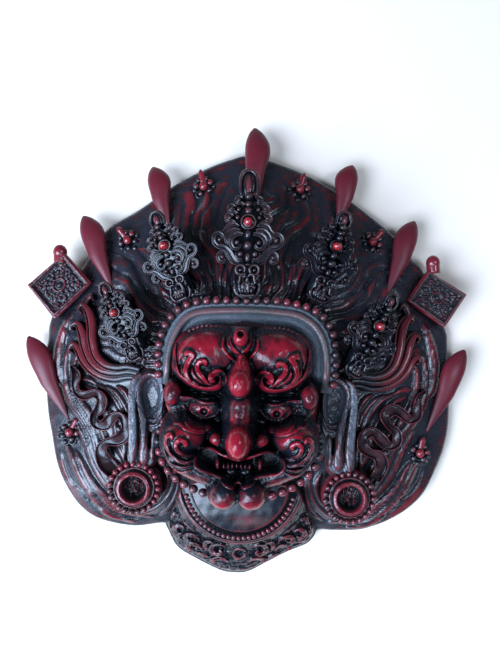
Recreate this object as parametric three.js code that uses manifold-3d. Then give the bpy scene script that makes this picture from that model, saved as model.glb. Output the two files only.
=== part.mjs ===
// A cast resin wall mask of a wrathful protector: a three-eyed face under a beaded headband and
// five skull crown leaves, in front of a fan of flame hair with seven blades, two ear plaques,
// beaded ear rings and a scrolled collar. The whole mask is one hollow-backed casting.
// It lies on its back. Millimetres: +X to the right seen from the front, +Y to the crown,
// +Z out of the face, z = 0 at the flat back rim.
import * as THREE from "three";
import { mergeVertices } from "three/addons/utils/BufferGeometryUtils.js";
import Module from "manifold-3d";

const wasm = await Module();
wasm.setup();

// Driving dimensions.
const WIDTH = 300; // over the two lowest blades
const HEIGHT = 305; // tip of the top blade to the foot of the collar
const DEPTH = 104; // back rim to the tip of the nose
const RIM = 9; // thickness of the fan at its edge
const WALL = 7; // thickness of the casting
const FAN_RISE = 33; // how far the hair rises from the edge to the headband
const REST_SHARE = 0.9; // the flat back rim starts at this share of the outline

const TIP_X = WIDTH / 2 - 1.6; // the tips of the lowest blades, inside their rounded edges
const TOP = HEIGHT / 2;
const FOOT = -HEIGHT / 2;
const CENTRE_Y = -20; // the point that the fan's rings run round
const FACE = { y: -26, halfWidth: 55, halfHeight: 78, base: 34, rise: 32 };
const INSIDE = { y: -26, halfWidth: 41, halfHeight: 60, base: 30, rise: 27 };
const NECK = { y: -88, halfWidth: 36, halfHeight: 29, base: 22, rise: 22 };

// ---- Solids from three.js geometry ----

// A closed geometry as a solid for joining and cutting, with its faces turned outwards.
function solid(geometry) {
  const bare = geometry.index ? geometry.toNonIndexed() : geometry.clone();
  bare.deleteAttribute("normal");
  bare.deleteAttribute("uv");
  const merged = mergeVertices(bare, 1e-3);
  const triangles = [];
  const index = merged.index.array;
  for (let i = 0; i < index.length; i += 3) {
    const [a, b, c] = index.slice(i, i + 3);
    if (a !== b && b !== c && c !== a) triangles.push(a, b, c);
  }
  const make = (triVerts) =>
    new wasm.Manifold(
      new wasm.Mesh({
        numProp: 3,
        vertProperties: merged.attributes.position.array,
        triVerts: new Uint32Array(triVerts),
      }),
    );
  const made = make(triangles);
  return made.volume() > 0 ? made : make(triangles.reverse());
}

function joined(solids) {
  return solids.reduce((sum, next) => sum.add(next));
}

// A geometry stretched, turned (radians about X, then Y, then Z) and moved into place.
function placed(geometry, { size = [1, 1, 1], turn = [0, 0, 0], at = [0, 0, 0] }) {
  const matrix = new THREE.Matrix4().compose(
    new THREE.Vector3(...at),
    new THREE.Quaternion().setFromEuler(new THREE.Euler(...turn, "ZYX")),
    new THREE.Vector3(...size),
  );
  return solid(geometry.clone().applyMatrix4(matrix));
}

const BALL = new THREE.SphereGeometry(1, 8, 6).rotateX(Math.PI / 2);
const BEAD = new THREE.IcosahedronGeometry(1, 0);

// An ellipsoid whose highest point is at height top.
function lump(x, y, top, [rx, ry, rz], angle = 0) {
  return placed(BALL, { size: [rx, ry, rz], turn: [0, 0, angle], at: [x, y, top - rz] });
}

// A small lump, with fewer facets.
function knob(x, y, top, [rx, ry, rz], angle = 0) {
  return placed(BEAD, { size: [rx, ry, rz], turn: [0, 0, angle], at: [x, y, top - rz] });
}

// A path whose sections stand upright all the way along.
class UprightPath extends THREE.CatmullRomCurve3 {
  computeFrenetFrames(segments) {
    const up = new THREE.Vector3(0, 0, 1);
    const tangents = Array.from({ length: segments + 1 }, (_, i) => this.getTangentAt(i / segments));
    return {
      tangents,
      normals: tangents.map(() => up),
      binormals: tangents.map((t) => new THREE.Vector3().crossVectors(t, up).normalize()),
    };
  }
}

// A band that follows points over the surface, with its width and height at its middle.
function band(points, width, height, steps = points.length * 2, sides = 6) {
  const section = new THREE.Shape(
    Array.from({ length: sides }, (_, i) => {
      const angle = ((i + 0.5) / sides) * 2 * Math.PI;
      return new THREE.Vector2((Math.cos(angle) * height) / 2, (Math.sin(angle) * width) / 2);
    }),
  );
  const path = new UprightPath(points.map((p) => new THREE.Vector3(...p)));
  return solid(
    new THREE.ExtrudeGeometry(section, { steps, bevelEnabled: false, extrudePath: path }),
  );
}

// Points given for the right side, on either side of the mask.
function sided(points, side) {
  return points.map(([x, y, z]) => [x * side, y, z]);
}

function bothSides(make) {
  return [1, -1].flatMap((side) => make(side));
}

// A solid whose rings run round a centre line. Ring i lies at share t of the outline and at
// height z(x, y); the first and the last ring are the middle of the front and of the back.
function ringed(outline, centreY, around, rings) {
  const geometry = new THREE.SphereGeometry(1, around, rings.length - 1);
  const { position, uv } = geometry.attributes;
  for (let i = 0; i < position.count; i++) {
    const { t, z } = rings[Math.round((1 - uv.getY(i)) * (rings.length - 1))];
    const angle = (Math.round(uv.getX(i) * around) / around) * 2 * Math.PI;
    const x = Math.cos(angle) * outline(angle) * t;
    const y = centreY + Math.sin(angle) * outline(angle) * t;
    position.setXYZ(i, x, y, z(x, y));
  }
  return solid(geometry);
}

// ---- The fan of hair, and the collar below it ----

// Right half of the edge from the crown to the foot of the collar.
const EDGE = [
  [0, 134], [32, 125], [53, 114], [69, 102.5], [98, 82], [112, 61], [124, 42], [135, 20],
  [138, 4], [139.5, -22], [138.5, -42], [135.5, -60], [130, -79], [121, -97], [106, -111],
  [90, -118.5], [70, -121.5], [54, -120], [49.5, -125], [43, -132.5], [31, -139], [17, -147],
  [0, FOOT],
];
const edgeCurve = new THREE.CatmullRomCurve3(
  [...EDGE, ...EDGE.slice(1, -1).reverse().map(([x, y]) => [-x, y])].map(
    ([x, y]) => new THREE.Vector3(x, y - CENTRE_Y, 0),
  ),
  true,
  "centripetal",
);
const edgePoints = edgeCurve
  .getPoints(480)
  .map((p) => ({ angle: (Math.atan2(p.y, p.x) + 2 * Math.PI) % (2 * Math.PI), radius: p.length() }))
  .sort((a, b) => a.angle - b.angle);

// The fan's radius from its centre at an angle.
function edgeRadius(angle) {
  const turn = (angle + 2 * Math.PI) % (2 * Math.PI);
  const next = edgePoints.findIndex((p) => p.angle > turn);
  const after = edgePoints[Math.max(next, 0)];
  const before = edgePoints[next > 0 ? next - 1 : edgePoints.length - 1];
  const gap = (after.angle - before.angle + 2 * Math.PI) % (2 * Math.PI) || 1;
  const share = ((turn - before.angle + 2 * Math.PI) % (2 * Math.PI)) / gap;
  return before.radius + (after.radius - before.radius) * share;
}

function edgeShare(x, y) {
  return Math.hypot(x, y - CENTRE_Y) / edgeRadius(Math.atan2(y - CENTRE_Y, x));
}

// Height of the smooth fan under the locks.
function fanHeight(x, y) {
  return RIM + FAN_RISE * (1 - Math.min(edgeShare(x, y), 1) ** 2.2);
}

// Locks run out from the face in slow waves and die away at the edge.
function hairHeight(x, y) {
  const share = edgeShare(x, y);
  const angle = Math.atan2(y - CENTRE_Y, x);
  const wave = Math.abs(Math.cos(angle * 8 + 1.1 * Math.sin(share * 11)));
  const fade = THREE.MathUtils.smoothstep(share, 0.4, 0.5) * (1 - share ** 6);
  return fanHeight(x, y) + fade * (2.4 * wave - 0.8);
}

function domeHeight(dome, x, y) {
  const across = x / dome.halfWidth;
  const along = (y - dome.y) / dome.halfHeight;
  const share = Math.min(across ** 2 + along ** 2, 1);
  return dome.base + dome.rise * Math.sqrt(1 - share ** 2);
}

function fan() {
  const front = [0, 0.45, 0.57, 0.68, 0.78, 0.87, 0.95];
  return ringed(edgeRadius, CENTRE_Y, 64, [
    ...front.map((t) => ({ t, z: hairHeight })),
    { t: 1, z: () => RIM * 0.7 },
    { t: 1, z: () => 0 },
    { t: 0, z: () => 0 },
  ]);
}

function dome(form, around) {
  const radius = (angle) =>
    1 / Math.hypot(Math.cos(angle) / form.halfWidth, Math.sin(angle) / form.halfHeight);
  const rings = [0, 0.4, 0.66, 0.83, 0.94, 1];
  return ringed(radius, form.y, around, [
    ...rings.map((t) => ({ t, z: (x, y) => domeHeight(form, x, y) })),
    { t: 1, z: () => form.base - 14 },
    { t: 0, z: () => form.base - 14 },
  ]);
}

// The hollow back: one wall thickness inside the fan and the two domes.
function hollow() {
  const ceiling = (x, y) =>
    Math.max(
      fanHeight(x, y) - WALL - 1,
      domeHeight(INSIDE, x, y) > INSIDE.base ? domeHeight(INSIDE, x, y) : 0,
    );
  const rings = [0, 0.15, 0.28, 0.37, 0.55, 0.75];
  return ringed(edgeRadius, CENTRE_Y, 32, [
    ...rings.map((t) => ({ t, z: ceiling })),
    { t: REST_SHARE, z: () => -1 },
    { t: 0, z: () => -1 },
  ]);
}

// ---- The face ----

function forehead() {
  return [
    ...bothSides((side) => [lump(19 * side, 2, 77, [21, 17, 26])]),
    lump(0, 10.5, 82, [5.6, 7, 14]),
    lump(0, -13, 92, [6.8, 10.5, 26]),
  ];
}

// Flame eyebrows: one long scroll with two licks rising from it.
function eyebrows(side) {
  const scroll = [
    [38, 5, 68], [37.5, -10, 74], [29, -19, 78], [18.5, -20.8, 80], [11, -17.5, 81], [12, -11.5, 80],
  ];
  const outerLick = [[28, -18, 77], [31.5, -9, 76], [29.5, -2, 74]];
  const innerLick = [[19.5, -18, 79], [24, -10, 77], [22.5, -5, 75]];
  return [
    band(sided(scroll, side), 4, 9, 9, 4),
    ...[outerLick, innerLick].map((lick) => band(sided(lick, side), 4, 8, 3, 4)),
  ];
}

function eyes(side) {
  return [
    lump(20.5 * side, -31.5, 72, [9.5, 7.5, 12]),
    knob(41 * side, -25.5, 67, [7.5, 5.5, 16], -0.2 * side),
    placed(new THREE.TorusGeometry(9, 1.7, 4, 8), {
      size: [1.15, 0.75, 3],
      turn: [0, 0.25 * side, 0],
      at: [21 * side, -31.8, 66],
    }),
  ];
}

function nose() {
  return [
    lump(0, -31, 89, [7.6, 9.5, 24]),
    lump(0, -46.5, DEPTH, [8.6, 10.8, 38]),
    ...bothSides((side) => [lump(12.8 * side, -46.6, 83, [4.6, 4.8, 18])]),
  ];
}

function cheeks(side) {
  return [
    lump(31 * side, -49, 86, [14.8, 13.2, 30], 0.15 * side),
    lump(26 * side, -65.5, 79, [17.5, 12, 26], -0.35 * side),
    lump(7.9 * side, -80, 88, [8.8, 8.8, 32]),
  ];
}

// Half of the open mouth, from the middle of the upper lip to the middle of the lower lip.
const LIP = [[0, -60.2], [13, -57], [22, -57.5], [24.5, -62], [20, -66.3], [11, -69], [4, -73], [0, -72.5]];
const MOUTH_FLOOR = 66;

function mouthOpening() {
  const loop = [...LIP, ...LIP.slice(1, -1).reverse().map(([x, y]) => [-x, y])];
  const outline = new THREE.Shape(loop.map(([x, y]) => new THREE.Vector2(x, y)));
  const opening = new THREE.ExtrudeGeometry(outline, { depth: 30, bevelEnabled: false });
  return placed(opening, { at: [0, 0, MOUTH_FLOOR] });
}

function lips(side) {
  const path = LIP.map(([x, y]) => [x, y, 76 - 0.16 * x]);
  return [band(sided(path, side), 3, 12, 11, 4)];
}

// The row of upper teeth, the two fangs and the tongue.
function teethAndTongue() {
  const teeth = new THREE.BoxGeometry(21, 3.6, 12);
  return [
    placed(teeth, { at: [0, -62.2, MOUTH_FLOOR] }),
    lump(0, -69.5, 74, [6.5, 4.5, 14]),
    ...bothSides((side) => [
      knob(12.2 * side, -64, 77, [2.3, 4, 14]),
    ]),
  ];
}

// ---- What frames the face ----

// The headband's line, from the left temple over the forehead to the right temple.
function headbandPath(spread, top, z) {
  const right = [
    [49 + spread, -24], [50 + spread, 0], [43 + spread, 16 + 0.5 * spread], [25, top - 1],
  ];
  return [
    ...right.map(([x, y]) => [x, y, z]),
    [0, top, z],
    ...right.reverse().map(([x, y]) => [-x, y, z]),
  ];
}

function headband() {
  return [
    band(headbandPath(-1, 24.5, 52), 9, 17, 14, 5),
    band(headbandPath(6, 32.5, 44), 6, 14, 14, 4),
  ];
}

function ear(side) {
  const helix = [
    [51, -26, 38], [54.5, -17, 43], [63, -17, 44], [66, -27, 44], [62, -42, 44], [51, -44, 38],
  ];
  const outerStrap = [[65, -12, 38], [70, -26, 40], [70, -74, 37]];
  const innerStrap = [[61, -42, 41], [60, -74, 37]];
  return [
    band(sided(helix, side), 3.6, 16, 8, 4),
    band(sided(outerStrap, side), 6, 14, 4, 4),
    band(sided(innerStrap, side), 6.5, 14, 1, 4),
  ];
}

// A deep ear ring with a rounded rim, in a flat flange that carries its circle of beads.
function earRing(side) {
  const profile = [[0, 22], [17.5, 22], [17.5, 41], [13, 42], [11.4, 47], [8.8, 46], [7.6, 34], [0, 32]];
  const cup = new THREE.LatheGeometry(
    profile.map(([r, z]) => new THREE.Vector2(r, z)),
    12,
  ).rotateX(Math.PI / 2);
  return [placed(cup, { at: [68 * side, -88, 0] })];
}

function collarArc(halfWidth, foot, z) {
  const top = -90;
  return Array.from({ length: 9 }, (_, i) => {
    const angle = Math.PI * (1 + i / 8);
    return [Math.cos(angle) * halfWidth, top + Math.sin(angle) * (top - foot), z];
  });
}

function collar() {
  return [
    band(collarArc(35.5, -117, 32), 4.6, 22, 8, 4),
    band(collarArc(41, -123.5, 30), 5.4, 22, 8, 4),
    knob(0, -134, 27, [5.5, 5.5, 12]),
    ...bothSides((side) => [
      knob(21 * side, -130.5, 27, [7.5, 5.5, 12], 0.3 * side),
      knob(36 * side, -121.5, 29, [7.5, 5.5, 12], 0.6 * side),
    ]),
  ];
}

// ---- On the hair ----

// Three flame tresses sweep out from the temple and curl at their tips.
function tresses(side) {
  const sweep = [
    [[72, -8, 36], [86, -9.5, 33], [96, 0, 28], [100, 18, 24], [105, 28, 21], [100, 33, 21]],
    [[72, -14, 36], [89, -15.5, 31], [101, -6, 26], [107, 10, 22], [114.5, 13, 20]],
    [[72, -20, 35], [91, -22, 30], [105, -11, 24], [111, 1, 20], [116, -4, 19]],
  ];
  return sweep.map((path) => band(sided(path, side), 4.4, 11, path.length + 1, 4));
}

function ribbon(side) {
  const path = [
    [84, -78, 32], [91, -69, 32], [80.5, -60.5, 35], [75.5, -50, 36], [82, -44, 35], [92, -53, 32],
    [99, -49, 30], [92, -40, 31], [96, -31.5, 30], [107, -36.5, 27], [112.5, -28, 25], [118, -14, 22],
  ];
  return [band(sided(path, side), 4.6, 12, 17, 4)];
}

// A cluster of petals round a bead, flattened against the hair.
function flower(x, y) {
  const disc = new THREE.CylinderGeometry(5.6, 7, 12, 7).rotateX(Math.PI / 2);
  const z = fanHeight(x, y);
  return [placed(disc, { at: [x, y, z - 2] }), knob(x, y, z + 7.5, [3, 3, 4])];
}

// A smooth pointed blade whose tip stands out over the edge of the fan.
function blade([tipX, tipY], [rootX, rootY], halfWidth) {
  const length = Math.hypot(tipX - rootX, tipY - rootY);
  const widths = [0, 0.6, 0.9, 1, 0.9, 0.5, 0];
  const stations = [0, 0.06, 0.16, 0.3, 0.47, 0.75, 1];
  const profile = widths.map((w, i) => new THREE.Vector2(w * halfWidth, -stations[i] * length));
  const petal = new THREE.LatheGeometry(profile.reverse(), 6).scale(1, 1, 0.75);
  const tipZ = 11.5;
  const rootZ = fanHeight(rootX, rootY);
  const lean = Math.atan2(rootZ - tipZ, length);
  const turn = Math.atan2(tipY - rootY, tipX - rootX) - Math.PI / 2;
  return placed(petal, { turn: [-lean, 0, turn], at: [tipX, tipY, tipZ] });
}

function blades() {
  return [
    blade([1.5, TOP], [4, 98], 8.4),
    blade([-66.5, 123.5], [-53.5, 86], 7.6),
    blade([68.5, 128.5], [58.5, 92], 7.6),
    blade([-112.5, 88.5], [-90, 42], 8),
    blade([112.5, 92], [93, 45], 7.6),
    blade([-TIP_X, 5], [-118, -47], 7.6),
    blade([TIP_X, 6], [125, -47], 7.2),
  ];
}

// A square ear plaque on its corner, with a raised edge, a boss and a knob.
function plaque(x, y, side) {
  const width = 29;
  const turn = [0.12, -0.12 * side, Math.PI / 4 - 0.12 * side];
  const board = placed(new THREE.BoxGeometry(width, width, 10), { turn, at: [x, y, 17] });
  const panel = placed(new THREE.BoxGeometry(width - 4, width - 4, 4), { turn, at: [x, y, 22.8] });
  const boss = new THREE.CylinderGeometry(4.5, 6, 6, 8).rotateX(Math.PI / 2);
  return [
    board.subtract(panel),
    placed(boss, { turn, at: [x, y, 21] }),
    lump(x - 2.4 * side, y + 22, 23, [4.6, 6, 9]),
  ];
}

// ---- The skull crown ----

// Right half of a crown leaf's outline from foot to tip: across in leaf widths, up in leaf lengths.
const LEAF = [
  [0.08, 0.14], [0.1, 0.22], [0.31, 0.28], [0.25, 0.37], [0.37, 0.46], [0.27, 0.56],
  [0.18, 0.68], [0.14, 0.8], [0.08, 0.97],
];

// One leaf: a skull at the foot and scrolls round a jewel, on a rib that ties it to the hair.
function crownLeaf({ foot, lean, length, width, turn, z }) {
  const outline = [...LEAF, ...[...LEAF].reverse().map(([x, y]) => [-x, y])];
  const face = new THREE.Shape(outline.map(([x, y]) => new THREE.Vector2(x * width, y * length)));
  const on = (geometry, size, at) =>
    placed(geometry.clone().scale(...size).translate(...at), {
      turn: [0.1, turn, lean],
      at: [...foot, z],
    });
  const plate = new THREE.ExtrudeGeometry(face, { depth: 5, bevelEnabled: false });
  const rib = new THREE.BoxGeometry(0.2 * width, 0.44 * length, 36);
  const jewelY = 0.6 * length;
  const skullY = 0.12 * length;
  return [
    on(plate, [1, 1, 1], [0, 0, 0]),
    on(rib, [1, 1, 1], [0, 0.4 * length, -16]),
    on(BEAD, [5, 5, 5], [0, jewelY, 5]),
    on(BALL, [6.4, 7.5, 8], [0, skullY, 1.5]),
  ];
}

// The middle leaf, then the two at each side, which lean and turn outwards.
function crown() {
  const inner = { length: 54, width: 46, z: 46 };
  const outer = { length: 56, width: 42, z: 42 };
  return [
    crownLeaf({ foot: [0, 34], lean: 0, turn: 0, length: 75, width: 52, z: 47 }),
    ...bothSides((side) => [
      crownLeaf({ foot: [40 * side, 34], lean: -0.3 * side, turn: 0.35 * side, ...inner }),
      crownLeaf({ foot: [64 * side, -8], lean: -0.47 * side, turn: 0.45 * side, ...outer }),
    ]),
  ].flat();
}

// ---- The casting ----

function casting() {
  const flowers = [[32, 110], [82, 74], [117, -61]];
  const face = joined([dome(FACE, 26), ...bothSides(cheeks), lump(0, -64, 79, [31, 15, 26])]);
  const outside = joined([
    fan(),
    dome(NECK, 16),
    face.subtract(mouthOpening()),
    ...forehead(),
    ...bothSides(eyebrows),
    ...bothSides(eyes),
    ...nose(),
    ...bothSides(lips),
    ...teethAndTongue(),
    ...headband(),
    ...bothSides(ear),
    ...bothSides(earRing),
    ...collar(),
    ...bothSides(tresses),
    ...bothSides(ribbon),
    ...bothSides((side) => flowers.flatMap(([x, y]) => flower(x * side, y))),
    ...blades(),
    ...plaque(-125, 40, -1),
    ...plaque(126.5, 40, 1),
    ...crown(),
  ]);
  return outside.subtract(hollow());
}

// A three.js mesh from a joined solid.
function meshOf(name, made, material) {
  const { numProp, numVert, vertProperties, triVerts } = made.getMesh();
  const places = new Float32Array(numVert * 3);
  for (let i = 0; i < numVert; i++) {
    places.set(vertProperties.subarray(i * numProp, i * numProp + 3), i * 3);
  }
  const geometry = new THREE.BufferGeometry()
    .setAttribute("position", new THREE.BufferAttribute(places, 3))
    .setIndex(new THREE.BufferAttribute(triVerts, 1));
  geometry.computeVertexNormals();
  const mesh = new THREE.Mesh(geometry, material);
  mesh.name = name;
  return mesh;
}

const resin = new THREE.MeshStandardMaterial({ color: 0x3a0f14, roughness: 0.35, metalness: 0 });
const mask = new THREE.Group();
mask.add(meshOf("mask", casting(), resin));

export default mask;
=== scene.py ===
# A cast resin wall mask of a wrathful protector, lying on its back on a pale floor.
# Sizes are millimetres, in the frame's own axes, until a mesh is made of them in metres:
# +X to the right seen from the front, +Y to the crown, +Z out of the face.
import math

import bmesh
import bpy
import numpy as np
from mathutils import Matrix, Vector


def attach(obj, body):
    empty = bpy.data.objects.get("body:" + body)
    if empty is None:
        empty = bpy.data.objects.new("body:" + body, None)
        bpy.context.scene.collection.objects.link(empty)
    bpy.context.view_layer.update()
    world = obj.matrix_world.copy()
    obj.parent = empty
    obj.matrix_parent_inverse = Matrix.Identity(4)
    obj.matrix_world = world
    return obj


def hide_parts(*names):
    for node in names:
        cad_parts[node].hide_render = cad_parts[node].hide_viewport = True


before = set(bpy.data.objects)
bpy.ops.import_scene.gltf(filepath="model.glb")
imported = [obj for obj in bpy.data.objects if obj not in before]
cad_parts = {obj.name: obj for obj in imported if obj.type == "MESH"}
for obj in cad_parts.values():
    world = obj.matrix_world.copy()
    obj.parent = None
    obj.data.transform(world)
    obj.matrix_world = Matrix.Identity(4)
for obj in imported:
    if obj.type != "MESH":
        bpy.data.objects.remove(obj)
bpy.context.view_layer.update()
MM = 0.001


# ---- Camera, floor and lights ----
# The mask is seen square on from above, close to, so the nose and the headband stand large.
# A pale floor; wide windows to the left and at the foot, and a weak one to the right.

camera = bpy.data.objects.new("camera", bpy.data.cameras.new("camera"))
camera.data.lens = 32.4
camera.data.clip_start = 0.02
camera.location = (0.003, 0.0121, 0.421)
camera.rotation_euler = (0, 0, math.radians(1.9))
bpy.context.scene.collection.objects.link(camera)
bpy.context.scene.camera = camera
bpy.context.scene.view_settings.view_transform = "Standard"

floor_mesh = bpy.data.meshes.new("floor")
floor_mesh.from_pydata([(-3, -3, 0), (3, -3, 0), (3, 3, 0), (-3, 3, 0)], [], [(0, 1, 2, 3)])
floor = bpy.data.objects.new("floor", floor_mesh)
bpy.context.scene.collection.objects.link(floor)
paper = bpy.data.materials.new("floor_paper")
paper.use_nodes = True
paper.node_tree.nodes["Principled BSDF"].inputs["Base Color"].default_value = (0.76, 0.65, 0.55, 1)
paper.node_tree.nodes["Principled BSDF"].inputs["Roughness"].default_value = 0.8
floor_mesh.materials.append(paper)


def window(name, place, size, watts, colour):
    light = bpy.data.lights.new(name, "AREA")
    light.shape = "RECTANGLE"
    light.size, light.size_y = size
    light.energy = watts
    light.color = colour
    lamp = bpy.data.objects.new(name, light)
    lamp.location = place
    lamp.rotation_euler = (Vector((0, 0, 0.03)) - Vector(place)).to_track_quat("-Z", "Y").to_euler()
    bpy.context.scene.collection.objects.link(lamp)


window("window_high", (-0.66, -0.38, 0.86), (0.75, 0.75), 39, (0.60, 0.76, 1.0))
window("window_low", (-0.84, -0.74, 0.40), (0.6, 0.4), 7.5, (0.55, 0.73, 1.0))
window("window_foot", (0.0, -0.5, 1.0), (0.5, 0.3), 4, (0.58, 0.75, 1.0))
window("window_right", (0.52, 0.14, 0.86), (0.2, 0.26), 3.6, (0.66, 0.8, 1.0))

world = bpy.data.worlds.new("room")
world.use_nodes = True
world.node_tree.nodes["Background"].inputs["Color"].default_value = (0.62, 0.78, 1.0, 1)
world.node_tree.nodes["Background"].inputs["Strength"].default_value = 0.13
bpy.context.scene.world = world


# ---- The fan of hair ----
# Flame hair spreads from the face in waving locks over a shallow dome with a smooth edge.
# It is the body of the mask, poured in red resin with a hollow back, and all the rest stands on it.

CENTRE = np.array([0.0, -20.0])
RIM = 9.0
FAN_RISE = 33.0
WALL = 8.0
RIGHT_EDGE = [
    (0, 133.6), (28, 126), (54.4, 114.2), (71.2, 103.5), (99.2, 82.5), (111.8, 67), (120.6, 58),
    (136.2, 21), (138.8, 7.8), (141.2, -34.8), (139.9, -55.6), (134, -75.5), (123.7, -95.5), (105, -111),
    (85.1, -119.5), (65.4, -121), (54.5, -121), (51, -126), (46.5, -131), (33.2, -137), (20.4, -144),
    (7.5, -151), (-2.2, -152.4),
]
LEFT_EDGE = [
    (-12, -151), (-27.7, -144), (-41.1, -136.5), (-47.5, -127), (-50.8, -120), (-72.2, -122.5),
    (-94.2, -119), (-107.5, -111.5), (-118.2, -97.4), (-126.2, -82), (-131, -60.2), (-134.1, -43.9),
    (-137, -10.2), (-135.3, 3.1), (-132.6, 20.6), (-111.9, 56.3), (-98.5, 79), (-77.1, 93.5),
    (-66.3, 101.5), (-52.5, 111.8), (-32.2, 123.4), (-14, 131),
]


def curve_through(points, steps=12, closed=False):
    """A smooth line through points of any dimension, with steps pieces between two points."""
    points = np.array(points, float)
    if closed:
        ends = np.vstack([points[-1:], points, points[:2]])
    else:
        ends = np.vstack([2 * points[0] - points[1], points, 2 * points[-1] - points[-2]])
    t = np.linspace(0, 1, steps, endpoint=False)[:, None]
    line = []
    for a, b, c, d in zip(ends, ends[1:], ends[2:], ends[3:]):
        line.append(0.5 * (2 * b + (c - a) * t + (2 * a - 5 * b + 4 * c - d) * t**2
                           + (3 * b - a - 3 * c + d) * t**3))
    return np.vstack(line + ([] if closed else [points[-1:]]))


def evenly(line, count):
    """count points at even distances along a line."""
    length = np.concatenate([[0], np.cumsum(np.linalg.norm(np.diff(line, axis=0), axis=1))])
    at = np.linspace(0, length[-1], count)
    return np.stack([np.interp(at, length, line[:, k]) for k in range(line.shape[1])], axis=1)


def reach_of(outline, centre):
    """The distance from centre to a smooth closed outline, as a function of the angle."""
    return reach_of_line(curve_through(outline, 10, closed=True), centre)


def reach_of_line(line, centre):
    """The distance from centre to a closed line, as a function of the angle."""
    line = line - centre
    angle = np.arctan2(line[:, 1], line[:, 0]) % (2 * math.pi)
    order = np.argsort(angle)
    reach = np.linalg.norm(line, axis=1)[order]
    return lambda a: np.interp(a % (2 * math.pi), angle[order], reach, period=2 * math.pi)


def smooth_step(value, low, high):
    t = np.clip((value - low) / (high - low), 0, 1)
    return t * t * (3 - 2 * t)


def soft_max(a, b, blend):
    h = np.clip(0.5 + 0.5 * (a - b) / blend, 0, 1)
    return b + (a - b) * h + blend * h * (1 - h)


def from_line(line, x, y):
    """For every point, the distance to a line, how far along it is, and on which side it lies."""
    best = np.full(x.shape, 1e9)
    share = np.zeros(x.shape)
    side = np.zeros(x.shape)
    count = len(line) - 1
    for k, (a, b) in enumerate(zip(line, line[1:])):
        dx, dy = b[0] - a[0], b[1] - a[1]
        t = np.clip(((x - a[0]) * dx + (y - a[1]) * dy) / (dx * dx + dy * dy + 1e-12), 0, 1)
        ox, oy = x - a[0] - t * dx, y - a[1] - t * dy
        d = np.hypot(ox, oy)
        closer = d < best
        best = np.where(closer, d, best)
        share = np.where(closer, (k + t) / count, share)
        side = np.where(closer, np.sign(dx * oy - dy * ox), side)
    return best, share, side


class Relief:
    """Heights over a set of points, with shapes laid on them or cut into them."""

    def __init__(self, x, y, z):
        self.x, self.y, self.z = x, y, z

    def lump(self, x, y, rx, ry, top, deep, angle=0.0, blend=3.0, edge=0.93):
        """A rounded form whose top is at a height, with its sides falling deep below that."""
        c, s = math.cos(angle), math.sin(angle)
        u = ((self.x - x) * c + (self.y - y) * s) / rx
        v = ((self.y - y) * c - (self.x - x) * s) / ry
        q = np.hypot(u, v)
        fall = 1 - np.sqrt(1 - np.minimum(q, edge) ** 2)
        slope = edge / math.sqrt(1 - edge**2)
        self.z = soft_max(top - deep * (fall + np.maximum(q - edge, 0) * slope), self.z, blend)

    def pod(self, points, deep, blend=2.0):
        """A smooth body along a line of (x, y, half width, height of its top)."""
        line = curve_through(points, 8)
        d, share, _ = from_line(line[:, :2], self.x, self.y)
        at = np.linspace(0, 1, len(line))
        half = np.interp(share, at, line[:, 2])
        top = np.interp(share, at, line[:, 3])
        q = d / half
        fall = 1 - np.sqrt(1 - np.minimum(q, 0.93) ** 2)
        self.z = soft_max(top - deep * (fall + np.maximum(q - 0.93, 0) * 2.53), self.z, blend)

    def dent(self, x, y, rx, ry, deep, angle=0.0, power=1.0):
        """A soft hollow, or with a negative depth a soft swelling."""
        c, s = math.cos(angle), math.sin(angle)
        u = ((self.x - x) * c + (self.y - y) * s) / rx
        v = ((self.y - y) * c - (self.x - x) * s) / ry
        self.z = self.z - deep * np.exp(-((u * u + v * v) ** power))

    def strokes(self, strokes):
        """Raised or cut lines that follow the surface. Where some cross, the highest one shows.
        Each is (line, half width, height, taper at both ends, grooves along it); grooves of -1
        stand for a flat top."""
        up, down = np.zeros(self.x.shape), np.zeros(self.x.shape)
        for line, width, height, taper, grooves in strokes:
            line = np.asarray(line)
            low, high = line.min(0) - width, line.max(0) + width
            near = (self.x > low[0]) & (self.x < high[0]) & (self.y > low[1]) & (self.y < high[1])
            if not near.any():
                continue
            d, share, side = from_line(line, self.x[near], self.y[near])
            ends = np.minimum(share / max(taper[0], 1e-3), (1 - share) / max(taper[1], 1e-3))
            thin = np.sqrt(np.clip(ends, 0, 1))
            q = d / np.maximum(width * thin, 1e-6)
            power = 2 if grooves >= 0 else 5
            shape = np.sqrt(np.clip(1 - q**power, 0, 1)) * (0.35 + 0.65 * thin)
            if grooves > 0:
                wave = 0.5 + 0.5 * np.cos(2 * math.pi * grooves * q * side + math.pi)
                shape = shape * (1 - 0.3 * wave**2)
            layer = up if height > 0 else down
            layer[near] = np.maximum(layer[near], abs(height) * shape)
        self.z = self.z + up - down


def waves(x, y, size, seed, octaves=3):
    """A smooth irregular field from about -1 to 1, whose lumps are about size across."""
    rng = np.random.default_rng(seed)
    total = np.zeros(np.shape(x))
    for octave in range(octaves):
        for _ in range(5):
            turn, phase = rng.uniform(0, 2 * math.pi, 2)
            k = 2 * math.pi / (size * rng.uniform(0.8, 1.4)) * 2**octave
            total += np.sin(k * (x * math.cos(turn) + y * math.sin(turn)) + phase) / (5 * 1.6**octave)
    return total * 1.6


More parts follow.
